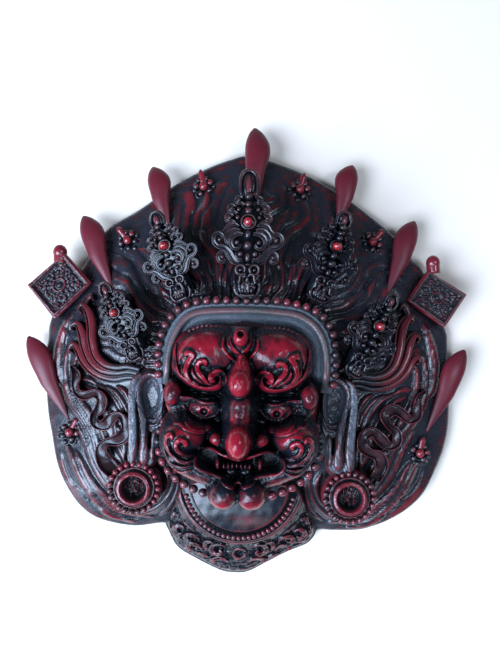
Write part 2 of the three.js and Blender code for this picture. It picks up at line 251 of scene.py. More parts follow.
def ringed(centre, reach, around, shares, front, back_around, back):
    """A closed form of rings round a centre: front rings, then rings down the edge and over the back.
    front(x, y, share, angle) gives heights, and back is a list of (share, height(x, y))."""
    def ring(share, count, height):
        angle = np.arange(count) * 2 * math.pi / count
        x = centre[0] + np.cos(angle) * reach(angle) * share
        y = centre[1] + np.sin(angle) * reach(angle) * share
        return np.stack([x, y, height(x, y)], axis=1)

    angle = np.tile(np.arange(around) * 2 * math.pi / around, (len(shares), 1))
    share = np.tile(np.array(shares)[:, None], (1, around))
    x = centre[0] + np.cos(angle) * reach(angle) * share
    y = centre[1] + np.sin(angle) * reach(angle) * share
    top = np.stack([x, y, front(x, y, share, angle)], axis=2).reshape(-1, 3)
    rings = [ring(share, back_around, height) for share, height in back]
    pole = [[centre[0], centre[1], top[:around, 2].mean()]]
    foot = [[centre[0], centre[1], rings[-1][:, 2].mean()]]
    verts = np.vstack([pole, top] + rings + [foot])
    faces = []

    def band(first, second, count):
        j = np.arange(count)
        k = (j + 1) % count
        faces.extend(np.stack([first + j, second + j, second + k, first + k], axis=1).tolist())

    faces.extend([0, 1 + j, 1 + (j + 1) % around] for j in range(around))
    for i in range(len(shares) - 1):
        band(1 + i * around, 1 + (i + 1) * around, around)
    last = 1 + (len(shares) - 1) * around
    start = 1 + len(shares) * around
    each = around // back_around
    for b in range(back_around):
        near, after = start + b, start + (b + 1) % back_around
        for i in range(each):
            one, two = last + b * each + i, last + (b * each + i + 1) % around
            faces.append([one, near if i < each // 2 else after, two])
        faces.append([last + (b * each + each // 2) % around, near, after])
    for i in range(len(rings) - 1):
        band(start + i * back_around, start + (i + 1) * back_around, back_around)
    end = start + (len(rings) - 1) * back_around
    faces.extend([end + j, len(verts) - 1, end + (j + 1) % back_around] for j in range(back_around))
    return verts, faces


def write_raised(mesh, values):
    """Stores how far each point stands proud, which the patina reads."""
    stored = mesh.attributes.new("raised", "FLOAT", "POINT")
    stored.data.foreach_set("value", np.asarray(values, np.float32))


def mark_raised(mesh, spread, scale, extra, steep_shade):
    """Writes how far each point stands proud of its surroundings, from 0 deep to 1 proud. Steep
    sides are darkened by steep_shade: painted shade on the sides that face the low lights."""
    count = len(mesh.vertices)
    places = np.empty(count * 3)
    mesh.vertices.foreach_get("co", places)
    places = places.reshape(-1, 3) / MM
    normals = np.empty(count * 3)
    mesh.vertices.foreach_get("normal", normals)
    edges = np.empty(len(mesh.edges) * 2, int)
    mesh.edges.foreach_get("vertices", edges)
    a, b = edges[::2], edges[1::2]
    one, two = np.concatenate([a, b]), np.concatenate([b, a])
    share = np.bincount(one, minlength=count)
    smooth = places
    fine = None
    for step in range(spread):
        total = [np.bincount(one, weights=smooth[two, k], minlength=count) for k in range(3)]
        smooth = np.stack(total, axis=1) / share[:, None]
        if step == spread // 5:
            fine = smooth
    normals = normals.reshape(-1, 3)
    proud = ((places - smooth) * normals).sum(1) / scale
    proud = proud + 2.2 * ((places - fine) * normals).sum(1) / scale
    # steep_shade takes red away from steep sides and darkens them: painted shade.
    values = 0.5 + 0.5 * np.tanh(proud) + extra - steep_shade * smooth_step(1 - normals[:, 2], 0.5, 0.85)
    write_raised(mesh, values)


def handled(verts, spots):
    """Extra rubbing round places the hand reaches: (x, y, reach across, reach along, amount)."""
    total = np.zeros(len(verts))
    for x, y, rx, ry, amount in spots:
        total += amount * np.exp(-(((verts[:, 0] - x) / rx) ** 2) - ((verts[:, 1] - y) / ry) ** 2)
    return total


def level_at(height):
    """A flat underside at one height."""
    return lambda x, y: np.full(np.shape(x), float(height))


def cast_piece(name, verts, faces, material, spread=24, scale=0.9, extra=0.0, steep_shade=0.0):
    """An object of one skin, turned outwards. A spread of 0 leaves its raised values to be written."""
    mesh = bpy.data.meshes.new(name)
    mesh.from_pydata((np.asarray(verts) * MM).tolist(), [], faces)
    outward = bmesh.new()
    outward.from_mesh(mesh)
    bmesh.ops.recalc_face_normals(outward, faces=outward.faces)
    outward.to_mesh(mesh)
    outward.free()
    mesh.shade_smooth()
    mesh.update()
    mesh.materials.append(material)
    if spread:
        mark_raised(mesh, spread, scale, extra, steep_shade)
    piece = bpy.data.objects.new(name, mesh)
    bpy.context.scene.collection.objects.link(piece)
    return piece


def feed(tree, made, inputs):
    """Gives a node's inputs their values, or joins them to the outputs of other nodes."""
    for socket, given in inputs.items():
        if isinstance(given, bpy.types.NodeSocket):
            tree.links.new(given, made.inputs[socket])
        else:
            made.inputs[socket].default_value = given


def node(tree, kind, inputs=None, **settings):
    made = tree.nodes.new(kind)
    for setting, value in settings.items():
        setattr(made, setting, value)
    feed(tree, made, inputs or {})
    return made


def sum_of(tree, terms, constant=0.0):
    """constant plus every (socket, factor)."""
    total = constant
    for socket, factor in terms:
        step = node(tree, "ShaderNodeMath", {0: socket, 1: factor, 2: total}, operation="MULTIPLY_ADD")
        total = step.outputs[0]
    return total


# Red resin under black patina, rubbed back by hand so that the red shows on what stands proud.
patina = bpy.data.node_groups.new("rubbed_patina", "ShaderNodeTree")
for socket_name in ("Rubbed", "Edge", "Red", "Black", "Pitting", "Blotches", "Satin", "Dull"):
    socket_type = "NodeSocketColor" if socket_name in ("Red", "Black") else "NodeSocketFloat"
    patina.interface.new_socket(socket_name, in_out="INPUT", socket_type=socket_type)
for socket_name in ("Color", "Roughness", "Height"):
    socket_type = "NodeSocketColor" if socket_name == "Color" else "NodeSocketFloat"
    patina.interface.new_socket(socket_name, in_out="OUTPUT", socket_type=socket_type)
asked = node(patina, "NodeGroupInput").outputs
place = node(patina, "ShaderNodeTexCoord").outputs["Object"]
raised = node(patina, "ShaderNodeAttribute", attribute_name="raised").outputs["Fac"]
# open_sky, the ambient occlusion, keeps patina in hollows through the wear below, and also paints shade
# into the black.
open_sky = node(patina, "ShaderNodeAmbientOcclusion", {"Distance": 0.007}, samples=8).outputs["AO"]


def clouds(scale, detail, roughness=0.5):
    inputs = {"Vector": place, "Scale": scale, "Detail": detail, "Roughness": roughness}
    return node(patina, "ShaderNodeTexNoise", inputs).outputs["Fac"]


def product(one, two):
    return node(patina, "ShaderNodeMath", {0: one, 1: two}, operation="MULTIPLY").outputs[0]


def rise(value, low, high):
    inputs = {"Value": value, "From Min": low, "From Max": high}
    return node(patina, "ShaderNodeMapRange", inputs, interpolation_type="SMOOTHSTEP").outputs[0]


def mixed(share, one, two, blend="MIX"):
    inputs = {0: share, 6: one, 7: two}
    return node(patina, "ShaderNodeMix", inputs, data_type="RGBA", blend_type=blend).outputs[2]


broad = clouds(28, 3)
middle = clouds(160, 3)
grit = clouds(900, 2, 0.6)
blotched = product(sum_of(patina, [(broad, 1.0)], constant=-0.5), asked["Blotches"])
# The constant takes away the middle value of each term.
wear = sum_of(patina, [
    (raised, 1.7), (asked["Rubbed"], 1.0), (blotched, 1.0), (middle, 0.5), (grit, 0.15), (open_sky, 0.6),
], constant=-0.85 - 0.25 - 0.075 - 0.5)
# Worn a little it is brown, and worn through it is red.
browned = rise(wear, product(asked["Edge"], -1.0), 0.02)
rubbed_bare = rise(wear, 0.0, asked["Edge"])
brown = mixed(1.0, asked["Red"], (0.27, 0.75, 0.6, 1), "MULTIPLY")
deep_red = mixed(middle, asked["Red"], (0.62, 0.66, 0.7, 1), "MULTIPLY")
# The black is multiplied by the ambient occlusion, so it goes darker in creases, gaps and hollows:
# painted shade.
black_with_painted_shade = mixed(1.0, asked["Black"], open_sky, "MULTIPLY")
colour = mixed(rubbed_bare, mixed(browned, black_with_painted_shade, brown), deep_red)
# Patina is duller than bare resin, and pitted.
dulled = product(sum_of(patina, [(rubbed_bare, -1.0)], constant=1.0), asked["Dull"])
sheen = sum_of(patina, [(asked["Satin"], 1.0), (dulled, 1.0), (grit, 0.2), (middle, 0.1)], constant=-0.02)
pits = product(product(grit, asked["Pitting"]), sum_of(patina, [(rubbed_bare, -0.75)], constant=1.0))
grain = sum_of(patina, [(pits, 1.0), (middle, 0.12)])
node(patina, "NodeGroupOutput", {"Color": colour, "Roughness": sheen, "Height": grain})


def resin(name, rubbed, red, black=(0.006, 0.007, 0.011), edge=0.2, pitting=0.6, blotches=0.4, coat=0.0,
          satin=0.1, dull=0.1, gloss=0.5):
    """A material of the patina above, with this piece's share of red and its sheen."""
    material = bpy.data.materials.new(name)
    material.use_nodes = True
    tree = material.node_tree
    finish = node(tree, "ShaderNodeGroup", {
        "Rubbed": rubbed, "Edge": edge, "Red": (*red, 1), "Black": (*black, 1),
        "Pitting": pitting, "Blotches": blotches, "Satin": satin, "Dull": dull,
    }, node_tree=patina)
    relief = {"Height": finish.outputs["Height"], "Strength": 0.5, "Distance": 0.0006}
    bump = node(tree, "ShaderNodeBump", relief)
    feed(tree, tree.nodes["Principled BSDF"], {
        "Coat Weight": coat, "Coat Roughness": 0.22, "IOR": 1.5, "Specular IOR Level": gloss,
        "Base Color": finish.outputs["Color"], "Roughness": finish.outputs["Roughness"],
        "Normal": bump.outputs["Normal"],
    })
    return material


hair_resin = resin("hair_resin", rubbed=-0.5, red=(0.15, 0.014, 0.02), black=(0.015, 0.015, 0.021),
                   edge=0.34, blotches=1.1, pitting=0.6, satin=0.12, dull=0.02)

hair_reach = reach_of(RIGHT_EDGE + LEFT_EDGE, CENTRE)


def share_at(x, y):
    angle = np.arctan2(y - CENTRE[1], x - CENTRE[0])
    return np.hypot(x - CENTRE[0], y - CENTRE[1]) / hair_reach(angle)


def fan_height(x, y):
    return RIM + FAN_RISE * (1 - np.minimum(share_at(x, y), 1) ** 2.2)


def both_sides(line, middle=0.0):
    """A line given for the right side, and its mirror image on the left."""
    line = np.array(line, float)
    left = line.copy()
    left[:, 0] = 2 * middle - left[:, 0]
    return [line, left]


# Long strands that sweep from under the ear rings up along the edge: middle line, width.
SIDE_STRANDS = [
    ([(60, -114), (84, -108), (94, -97.5), (102.5, -88), (109, -76.5), (113.5, -69.5)], 3.4),
    ([(72, -119), (90, -112.3), (102, -97), (110.5, -84), (117, -72), (123, -63)], 3.2),
    ([(86, -98), (89, -87), (96, -75), (100, -61), (105, -52), (110, -45), (117.5, -36), (121.5, -26),
      (122.5, -12), (119, 2)], 4.2),
    ([(84, -101), (92, -88), (99, -78), (104, -66), (110, -56), (114, -49)], 3.0),
    ([(94, -70), (103, -46), (110, -37), (114.5, -26), (115, -12), (112, -4)], 3.2),
    ([(120, -30), (127, -20), (128, -4), (124, 12), (118, 24)], 3.6),
]
# Strands round the foot of the ear rings and under the jaw.
FOOT_STRANDS = [
    ([(46, -70), (44.5, -84), (49, -97), (59, -107.5), (73, -112), (88, -108)], 3.4),
    ([(52, -76), (49, -86), (53, -97), (62, -106)], 2.6),
    ([(42, -80), (43, -92), (48, -104), (56, -113)], 2.6),
]
# Strands that fall from the temple behind the ear straps.
EAR_STRANDS = [
    ([(100, -24), (90, -29), (83, -37), (78, -48)], 2.4),
    ([(92, -25), (84, -30), (78, -38), (75.5, -46)], 2.2), ([(108, -26), (99, -30), (93, -35)], 2.2),
    ([(84, -62), (80, -68), (77, -76)], 2.6), ([(100, -60), (93, -66), (88, -74), (84, -80)], 2.8),
    ([(84, -24.5), (78, -29), (75, -36)], 2.0), ([(104, -44), (97, -50), (92, -60), (90, -70)], 2.6),
    ([(84, -50), (80, -56), (78, -66), (78, -76)], 2.4), ([(112, -22), (104, -22), (98, -25)], 2.2),
    ([(90, -40), (86, -46), (84, -56), (82, -68)], 2.2),
]
# Where the little skulls stand that carry the crown leaves.
SKULLS = {
    "middle": (0.3, 38.0), "inner_left": (-37.6, 34.6), "inner_right": (42.4, 36.4),
    "outer_left": (-65.2, -3.0), "outer_right": (66.4, -8.6),
}


def hair_front(x, y, share, angle):
    z = fan_height(x, y)
    up = smooth_step(np.sin(angle), -0.02, 0.3)
    swing = np.sin(18 * share + 2.6 * np.sin(2.3 * angle + 0.5) + 0.6)
    flow = angle + (0.042 * swing + 0.014 * waves(x, y, 40, 3)) * smooth_step(share, 0.25, 0.5)
    broad_locks = np.abs(np.sin(flow * 13 + 0.5)) ** 0.7
    locks = np.abs(np.sin(flow * 33 + 0.9 * waves(x, y, 45, 5))) ** 0.5
    hairs = np.abs(np.sin(flow * 70 + 0.9 * waves(x, y, 45, 6)))
    tip = 0.965 + 0.03 * np.sin(11 * angle) + 0.012 * np.sin(29 * angle)
    fade = 1 - smooth_step(share, tip - 0.22, tip) ** 1.5
    fine = 1 - smooth_step(share, 0.5, 0.75)
    z = z + up * fade * (1.8 * broad_locks + 2.0 * locks + 0.5 * hairs * fine - 2.0)
    z = z + 0.3 * waves(x, y, 30, 9)
    # Small knobbly curls crowd round the foot of every crown leaf.
    knobs = np.zeros(x.shape)
    for skull_x, skull_y in SKULLS.values():
        knobs = np.maximum(knobs, np.exp(-(((x - skull_x) / 12) ** 2) - ((y - skull_y) / 10) ** 2))
    z = z + 1.3 * knobs * np.maximum(waves(x, y, 4.2, 19, 2), -0.4)
    relief = Relief(x, y, z)
    rng = np.random.default_rng(12)
    strokes = []
    for degrees in np.arange(26, 158, 13):
        a = math.radians(degrees + rng.uniform(-1.5, 1.5))
        start, end = rng.uniform(0.36, 0.5), rng.uniform(0.78, 0.92)
        s = np.linspace(0, 1, 9)
        swing = rng.uniform(3, 5) * np.sin(s * rng.uniform(4.5, 6) + rng.uniform(0, 6))
        far = hair_reach(np.array([a]))[0] * (start + (end - start) * s)
        px = CENTRE[0] + far * math.cos(a) - swing * math.sin(a)
        py = CENTRE[1] + far * math.sin(a) + swing * math.cos(a)
        line = curve_through(np.stack([px, py], axis=1), 5)
        strokes.append((line, rng.uniform(3.6, 5.2), rng.uniform(1.6, 2.4), (0.1, 0.6), 0))
    for points, width in SIDE_STRANDS:
        for line in both_sides(points, 1.0):
            strokes.append((curve_through(line, 6), width, 3.0, (0.2, 0.4), 1.5))
    for points, width in EAR_STRANDS + FOOT_STRANDS:
        for line in both_sides(points, 1.0):
            strokes.append((curve_through(line, 6), width, 2.4, (0.3, 0.4), 1.0))
    relief.strokes(strokes)
    # Fine cuts in the smooth lower lobes.
    cuts = [
        [(119, -82), (115.5, -90), (109, -95), (102, -95.5)], [(108, -100), (99, -106), (90, -111)],
        [(124, -72), (120, -84), (113, -96)], [(70, -116.5), (84, -115), (96, -108)],
    ]
    relief.strokes([(curve_through(line, 6), 1.1, -1.3, (0.4, 0.4), 0)
                    for points in cuts for line in both_sides(points, 1.0)])
    # The casting swells at the lower lobes.
    for side in (-1, 1):
        relief.dent(side * 108, -96, 26, 20, -4.5)
    edge = smooth_step(share, 0.991, 1.0)
    return relief.z * (1 - edge) + edge * (RIM - 0.6)


def dome_height(x, y, half_width=49.0, half_height=58.0, base=34.0, rise=29.0):
    """The swelling behind the face and the headband."""
    q = (x / half_width) ** 2 + ((y + 26) / half_height) ** 2
    return np.where(q < 1, base + rise * np.sqrt(np.clip(1 - q**2, 0, 1)), 0)


def inner_dome(x, y):
    """The swelling under the face, which is hollow from behind."""
    return dome_height(x, y, 41, 54, 30, 26)


def dome_behind(x, y):
    """The swelling, lower where the face itself covers it."""
    behind = 1 - smooth_step(((x + 1.2) / 43) ** 2 + ((y + 31) / 55) ** 2, 0.82, 1.05)
    return dome_height(x, y) * (1 - behind) + (inner_dome(x, y) + 2.5) * behind


def hollow_back(x, y):
    return np.maximum(fan_height(x, y) - WALL, inner_dome(x, y))


def hair_and_dome(x, y, share, angle):
    return np.maximum(hair_front(x, y, share, angle), dome_behind(x, y))


hair_shares = np.concatenate([[0.02, 0.1, 0.17, 0.23, 0.28], np.linspace(0.32, 1.0, 104)])
# A flat foot round the edge, and then the hollow.
hair_under = [(1.0, level_at(0)), (0.9, level_at(0))]
for share in (0.85, 0.78, 0.68, 0.58, 0.48, 0.4, 0.33, 0.27, 0.21, 0.14, 0.07):
    hair_under.append((share, hollow_back))
hair_mesh = ringed(CENTRE, hair_reach, 880, hair_shares, hair_and_dome, 220, hair_under)
hair_x, hair_y = hair_mesh[0][:, 0], hair_mesh[0][:, 1]
hair_out = share_at(hair_x, hair_y)
hair_top = smooth_step(hair_y, -30, 10)
# The top stays black but for blotches between the blades, worn through near the edge.
worn = np.maximum(waves(hair_x, hair_y, 26, 15), 0) * smooth_step(hair_out, 0.62, 0.86)
hair_rub = hair_top * (0.26 * worn - 0.16) - 0.08 * (1 - hair_top)
hair_rub = hair_rub - 0.7 * smooth_step(hair_out, 0.972, 0.997)
hair_rub = hair_rub + handled(hair_mesh[0], [
    (20, 114, 9, 6, 0.34), (30, 96, 4, 10, 0.12), (75, 88, 8, 6, 0.32), (-17, 114, 7, 9, 0.3),
    (-41, 101, 7, 9, 0.26), (-71, 87, 6, 5, 0.22), (12, 98, 4, 9, 0.14), (60, 66, 5, 10, 0.1),
    (112, -104, 16, 9, 0.12),
])
hair = cast_piece("hair_fan", *hair_mesh, hair_resin, extra=hair_rub)
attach(hair, "root")
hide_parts("mask")


# ---- The seven blades ----
# Smooth petal-shaped knives that lie on the hair, with their rounded tips out over its edge.
# They are cast with the fan, rubbed clean of patina and left duller than the face.

blade_resin = resin("blade_resin", rubbed=0.3, red=(0.125, 0.010, 0.018), edge=0.6, pitting=0.1,
                    blotches=0.7, satin=0.28, gloss=0.32)
BLADES = [  # tip, root, half width, height of the tip
    ((1.8, 151.4), (4.0, 92), 8.6, 15),
    ((-66.5, 122.8), (-53.0, 80), 7.8, 15),
    ((68.6, 128.4), (58.8, 86), 7.8, 15),
    ((-112.5, 88), (-89, 38), 8.2, 15),
    ((112.0, 91.8), (92.5, 40), 7.8, 15),
    ((-147.6, 5.2), (-116.6, -50), 7.8, 14),
    ((149.2, 5.8), (124, -50), 7.6, 14),
]


def blade_form(tip, root, half, tip_z):
    """Rings of a flattened petal from tip to root, which lies on the hair."""
    tip, root = np.array(tip), np.array(root)
    length = np.linalg.norm(tip - root)
    along = (root - tip) / length
    across = np.array([along[1], -along[0]])
    s = np.linspace(0, 1, 34) ** 1.25
    width = half * np.interp(s, [0, 0.03, 0.1, 0.2, 0.32, 0.5, 0.7, 0.88, 1],
                             [0.03, 0.36, 0.68, 0.96, 1.0, 0.8, 0.52, 0.26, 0.05])
    kernel = np.array([1, 2, 3, 2, 1]) / 9
    width = np.convolve(np.pad(width, 2, "edge"), kernel, "valid")
    # The tip leans away from the middle of the mask.
    outwards = np.sign(tip[0]) if abs(tip[0]) > 10 else -1
    lean = -0.2 * half * outwards * np.sin(np.minimum(s * 1.9, 1) * math.pi)
    middle = tip + along * (s * length)[:, None] - np.outer(lean, across)
    root_z = float(fan_height(root[0], root[1])) + 1.5
    sag = 2.0 * np.sin(s * math.pi)
    z = tip_z + (root_z - tip_z) * s + sag
    turn = np.arange(28) * 2 * math.pi / 28
    high = np.sin(turn)
    high = np.where(high > 0, 0.56 * np.abs(high) ** 0.95, 0.5 * high)
    rings = []
    for k, wide in enumerate(width):
        ring = middle[k] + np.outer(np.cos(turn) * wide, across)
        rings.append(np.column_stack([ring, z[k] + high * wide - 1.2]))
    return np.array(rings)


def lofted(rings, start=None, end=None):
    """A closed skin over rings, with a point at each end."""
    count, around = rings.shape[:2]
    start = rings[0].mean(0) if start is None else start
    end = rings[-1].mean(0) if end is None else end
    verts = np.vstack([[start], rings.reshape(-1, 3), [end]])
    faces = []
    for j in range(around):
        k = (j + 1) % around
        faces.append([0, 1 + k, 1 + j])
        for i in range(count - 1):
            a, b = 1 + i * around, 1 + (i + 1) * around
            faces.append([a + j, a + k, b + k, b + j])
        last = 1 + (count - 1) * around
        faces.append([last + j, last + k, len(verts) - 1])
    return verts, faces


def gathered(meshes):
    """Several (verts, faces) as one."""
    verts, faces, count = [], [], 0
    for more_verts, more_faces in meshes:
        verts.append(more_verts)
        faces.extend([[i + count for i in face] for face in more_faces])
        count += len(more_verts)
    return np.vstack(verts), faces


blade_skins = [lofted(blade_form(*blade)) for blade in BLADES]
blades = cast_piece("blades", *gathered(blade_skins), blade_resin, spread=6, scale=3.0)
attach(blades, "root")
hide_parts("mask")


# ---- The face ----
# A round swollen face with heavy lobes of brow and cheek, curling eyebrows and an open mouth.
# Cast in one with the fan, it stands far out of it with steep sides, and is rubbed the reddest of all.

face_resin = resin("face_resin", rubbed=-0.45, red=(0.235, 0.008, 0.017), edge=0.42, pitting=0.5,
                   blotches=0.6, coat=0.05, satin=0.05, dull=0.08, gloss=0.3)
# The face's own middle line, a little to the left of the frame's.
MIDDLE = -1.2
FACE_CENTRE = np.array([MIDDLE, -34.0])
FACE_EDGE = [
    (0, 16), (14, 16.8), (28, 15.4), (36, 12), (41, 6), (42.5, -4), (42, -14), (44.5, -19.5), (47, -25.5),
    (45, -31), (43.5, -36), (46, -41), (47.5, -50), (46.5, -58), (42, -65), (35, -71), (27, -76),
    (19, -79), (16.5, -84), (11, -88.5), (5, -89), (0, -86.5),
]
# Curls and lids, measured from the middle line and mirrored: line, half width, height.
BROW_CURLS = [
    ([(39.6, 5), (40.4, -2), (38.8, -9), (34.6, -15.2), (27.4, -20), (18.5, -21.4), (12.4, -18.8),
      (10.2, -13.8), (12.6, -10.9), (16.3, -12), (16.6, -15.2), (14.2, -15.8)], 2.3, 4.2),
    ([(23, -19.5), (29, -16.5), (31.7, -11), (30.5, -5), (28.2, -1.6), (31.2, -0.2), (32.8, -2.6)],
     1.9, 3.6),
    ([(17, -19.5), (21.5, -14), (25, -9.5), (24.6, -5.6), (21.2, -4.6), (20.2, -7.6)], 1.7, 3.4),
    ([(26, -19), (33, -13.5), (35.6, -6)], 1.2, 2.4),
    ([(14, -18.5), (19.5, -17), (23, -12.8)], 1.1, 2.2),
]
CHEEK_CURLS = [
    ([(23, -60), (30, -62), (36, -59.5), (40.5, -54), (41.5, -48.5), (38.6, -45.8), (36.6, -48.6)],
     1.6, 2.6),
    ([(24, -58.5), (30, -58), (34, -55), (35, -51), (32.5, -48.2), (29.4, -50.2), (31, -53)], 1.5, 2.4),
    ([(25, -63.5), (33, -65), (39, -61.5), (43, -56), (42.5, -52)], 1.3, 2.2),
    ([(26, -66), (33, -68.5), (39, -66), (43.5, -60)], 1.2, 1.8),
]
LIDS = [
    ([(35.5, -26), (28, -26.5), (21, -28.8), (12, -28.6), (9, -31)], 1.2, 2.0),
    ([(30.5, -31.5), (27, -36.8), (20.5, -39.3), (13.5, -36.4), (10.2, -29.5)], 1.2, 2.0),
    ([(36, -23), (27, -22.8), (18, -24.8), (10, -27)], 1.4, 1.8),
    ([(34, -31), (28.5, -40), (20, -43.2), (12, -40.2), (7.6, -32)], 1.8, 2.2),
    ([(39, -33), (33, -40.5), (22, -44.8), (14, -44)], 1.2, 1.4),
    ([(8.6, -36), (10, -41), (9.5, -45)], 1.0, 1.2),
    ([(31, -34), (36, -36.4), (41, -35.6)], 1.2, 1.4), ([(30, -37.6), (35, -39.6), (40, -39)], 1.2, 1.4),
    ([(15, -25), (22, -26.4), (30, -24.8)], 0.9, 1.0),
]
LIP = [
    (-25.2, -61.6), (-24.2, -57), (-18.9, -54.8), (-12, -57.2), (-4, -59.8), (3.8, -59.2), (11.6, -56.6),
    (17.0, -56.2), (23.0, -59.0), (24.6, -62.6), (21.9, -66.3), (16.5, -67.8), (10.6, -69), (6.2, -71.8),
    (1.6, -73.6), (-0.6, -72.4), (-3.6, -74), (-7, -72.8), (-13, -69.1), (-19.6, -66.7), (-23.9, -64.8),
]


def inside(line, x, y):
    """Whether points lie inside a closed line."""
    odd = np.zeros(x.shape, bool)
    for a, b in zip(line, np.roll(line, -1, axis=0)):
        if a[1] == b[1]:
            continue
        crosses = (a[1] > y) != (b[1] > y)
        odd ^= crosses & (x < a[0] + (y - a[1]) * (b[0] - a[0]) / (b[1] - a[1]))
    return odd


# Heights in the mouth.
MOUTH_FLOOR = 66
TEETH_TOP = 80.5
FANG_TOP = 81.5
TONGUE_TOP = 73.5


def face_front(x, y, share, angle):
    ground = np.minimum(dome_height(x, y) * 0.98 + 0.5, 49 + 0.5 * np.maximum(6 - y, 0))
    face = Relief(x, y, np.maximum(ground, inner_dome(x, y) + 2.2))
    # Forehead, temples and the bulb between the brows.
    face.lump(MIDDLE, -2, 38.5, 16.0, 67, 11, blend=1.5, edge=0.975)
    for side in (-1, 1):
        face.lump(MIDDLE + side * 19.5, -0.6, 19.0, 14.4, 78.5, 14, angle=-side * 0.06, blend=2.5,
                  edge=0.95)
        face.lump(MIDDLE + side * 24, -13, 16, 8.5, 78, 14, angle=side * 0.35, blend=3)
        face.lump(MIDDLE + side * 33, -4, 6.5, 12, 74, 15, angle=-side * 0.1, blend=2)
        face.lump(MIDDLE + side * 40.2, -24.6, 5.4, 7.5, 73.5, 7.5, angle=side * 0.1, blend=1.2,
                  edge=0.97)
        face.pod([(MIDDLE + side * 28, -27.5, 2.4, 69), (MIDDLE + side * 37, -27, 3.0, 70)], 9, blend=1.5)
    face.pod([(MIDDLE, -2, 3.0, 80), (MIDDLE, -7, 4.6, 86), (MIDDLE - 0.4, -13, 6.0, 90.5)], 8, blend=3)
    face.lump(MIDDLE - 0.6, -16.4, 6.6, 8.0, 93.5, 9, blend=5, edge=0.97)
    # The third eye in its pointed lid.
    face.lump(-2.3, 6.8, 7.6, 9.0, 80.0, 14, blend=1)
    face.lump(-2.3, 9.4, 4.5, 5.3, 83.5, 5.5, blend=0.4, edge=0.97)
    # Eyes, nose, cheeks and jaw.
    for side in (-1, 1):
        face.lump(MIDDLE + side * 21, -32.3, 9.8, 7.0, 72.0, 7.5, blend=1.0, edge=0.96)
        face.pod([(MIDDLE + side * 19, -44.5, 4.5, 76), (MIDDLE + side * 26, -47, 8.5, 84),
                  (MIDDLE + side * 33.5, -48.2, 9.6, 86.5), (MIDDLE + side * 35, -51, 9.4, 85)], 12,
                  blend=2.5)
        face.pod([(MIDDLE + side * 37, -55, 9, 80), (MIDDLE + side * 31, -63, 8.5, 80.5),
                  (MIDDLE + side * 20, -70, 7, 79), (MIDDLE + side * 13, -72.5, 6, 78)], 12, blend=2.5)
        face.lump(MIDDLE + side * 12.9, -48.2, 3.9, 3.7, 84.5, 5, blend=1.0, edge=0.97)
        face.lump(MIDDLE + side * 37, -32, 9, 6, 66.5, 8, blend=2)
    face.lump(MIDDLE, -57.5, 21, 7.5, 78, 12, blend=2.5)
    face.lump(MIDDLE, -71.5, 19, 6.5, 78, 14, blend=2.5)
    face.pod([(MIDDLE, -29, 6.5, 89), (MIDDLE, -35.5, 6.3, 89.5)], 8, blend=1.0)
    face.pod([(MIDDLE - 0.1, -40, 5.4, 93), (MIDDLE - 0.3, -45, 6.2, 99)], 10, blend=2.5)
    face.lump(MIDDLE - 0.4, -47.8, 7.0, 9.2, 103.4, 11, blend=5, edge=0.97)
    for side in (-1, 1):
        face.lump(MIDDLE + side * 7.9, -80.2, 8.6, 8.5, 87.5, 10, blend=1.6, edge=0.96)
    face.z = face.z + 0.3 * waves(x, y, 17, 31) + 0.08 * waves(x, y, 4, 32)
    strokes = []
    for points, half, height in BROW_CURLS + CHEEK_CURLS + LIDS:
        taper = (0.25, 0.12) if half > 1.25 else (0.3, 0.3)
        for line in both_sides(np.array(points) + (MIDDLE, 0), MIDDLE):
            strokes.append((curve_through(line, 8), half, height, taper, -1 if half > 1.4 else 0))
    # The third eye's lid, and the creases beside the nose.
    for line in both_sides([(6.2, 13.5), (6.7, 7), (4.2, 2.6), (0.2, -1.2), (0, -4.5)]):
        strokes.append((curve_through(line - (2.3, 0), 8), 1.4, 2.4, (0.3, 0.3), -1))
    for line in both_sides([(9.4, 11), (9.8, 4), (6.2, -1.5), (1.5, -4.6)]):
        strokes.append((curve_through(line - (2.3, 0), 8), 1.0, 1.4, (0.3, 0.3), 0))
    lip = curve_through(LIP, 8, closed=True)
    strokes.append((np.vstack([lip, lip[:1]]), 1.6, 3.2, (0, 0), -1))
    face.strokes(strokes)
    cuts = [
        [(27.5, -17), (30, -11), (29, -6)], [(35, -13), (35.6, -7), (34.5, -1)],
        [(20.5, -18), (26, -12), (27.6, -7)], [(32, -60.5), (37, -56.5), (38.5, -51.5)],
        [(30, -63.6), (38, -62), (42, -55.5)],
    ]
    face.strokes([(curve_through(line, 8), 0.9, -1.6, (0.4, 0.4), 0)
                  for points in cuts for line in both_sides(np.array(points) + (MIDDLE, 0), MIDDLE)])
    for side in (-1, 1):
        face.dent(MIDDLE + side * 21.3, -34.6, 1.9, 1.9, 4.0, power=2)
        face.dent(MIDDLE + side * 7.5, -54.5, 2.5, 1.6, 4.0)
    face.dent(-2.3, 11.6, 1.7, 1.7, 4.5, power=2)
    # The open mouth, with its teeth, fangs and divided tongue.
    near = (np.abs(x - MIDDLE) < 27) & (y < -52) & (y > -76)
    d, _, _ = from_line(np.vstack([lip, lip[:1]]), x[near], y[near])
    within = inside(lip, x[near], y[near])
    depth = np.zeros(x.shape)
    depth[near] = smooth_step(np.where(within, d, -d), 0.2, 2.0)
    face.z = face.z * (1 - depth) + MOUTH_FLOOR * depth
    mouth = Relief(x, y, np.full(x.shape, MOUTH_FLOOR - 6.0))
    for k in range(7):
        mouth.lump(-9.4 + 2.45 * k, -63.2 - 0.2 * abs(k - 3), 1.25, 2.5, TEETH_TOP, 7, blend=0.3)
    for fang in (-12.9, 11.2):
        mouth.lump(fang, -62.6, 2.0, 4.4, FANG_TOP, 10, blend=0.3)
    for side in (-1, 1):
        mouth.lump(MIDDLE + side * 4.3, -68.8, 4.6, 3.8, TONGUE_TOP, 6, angle=side * 0.3, blend=0.4)
    face.z = np.where(depth > 0.6, np.maximum(face.z, mouth.z), face.z)
    return face.z


def under_face(x, y):
    return np.maximum(dome_behind(x, y) - 1.5, 36)


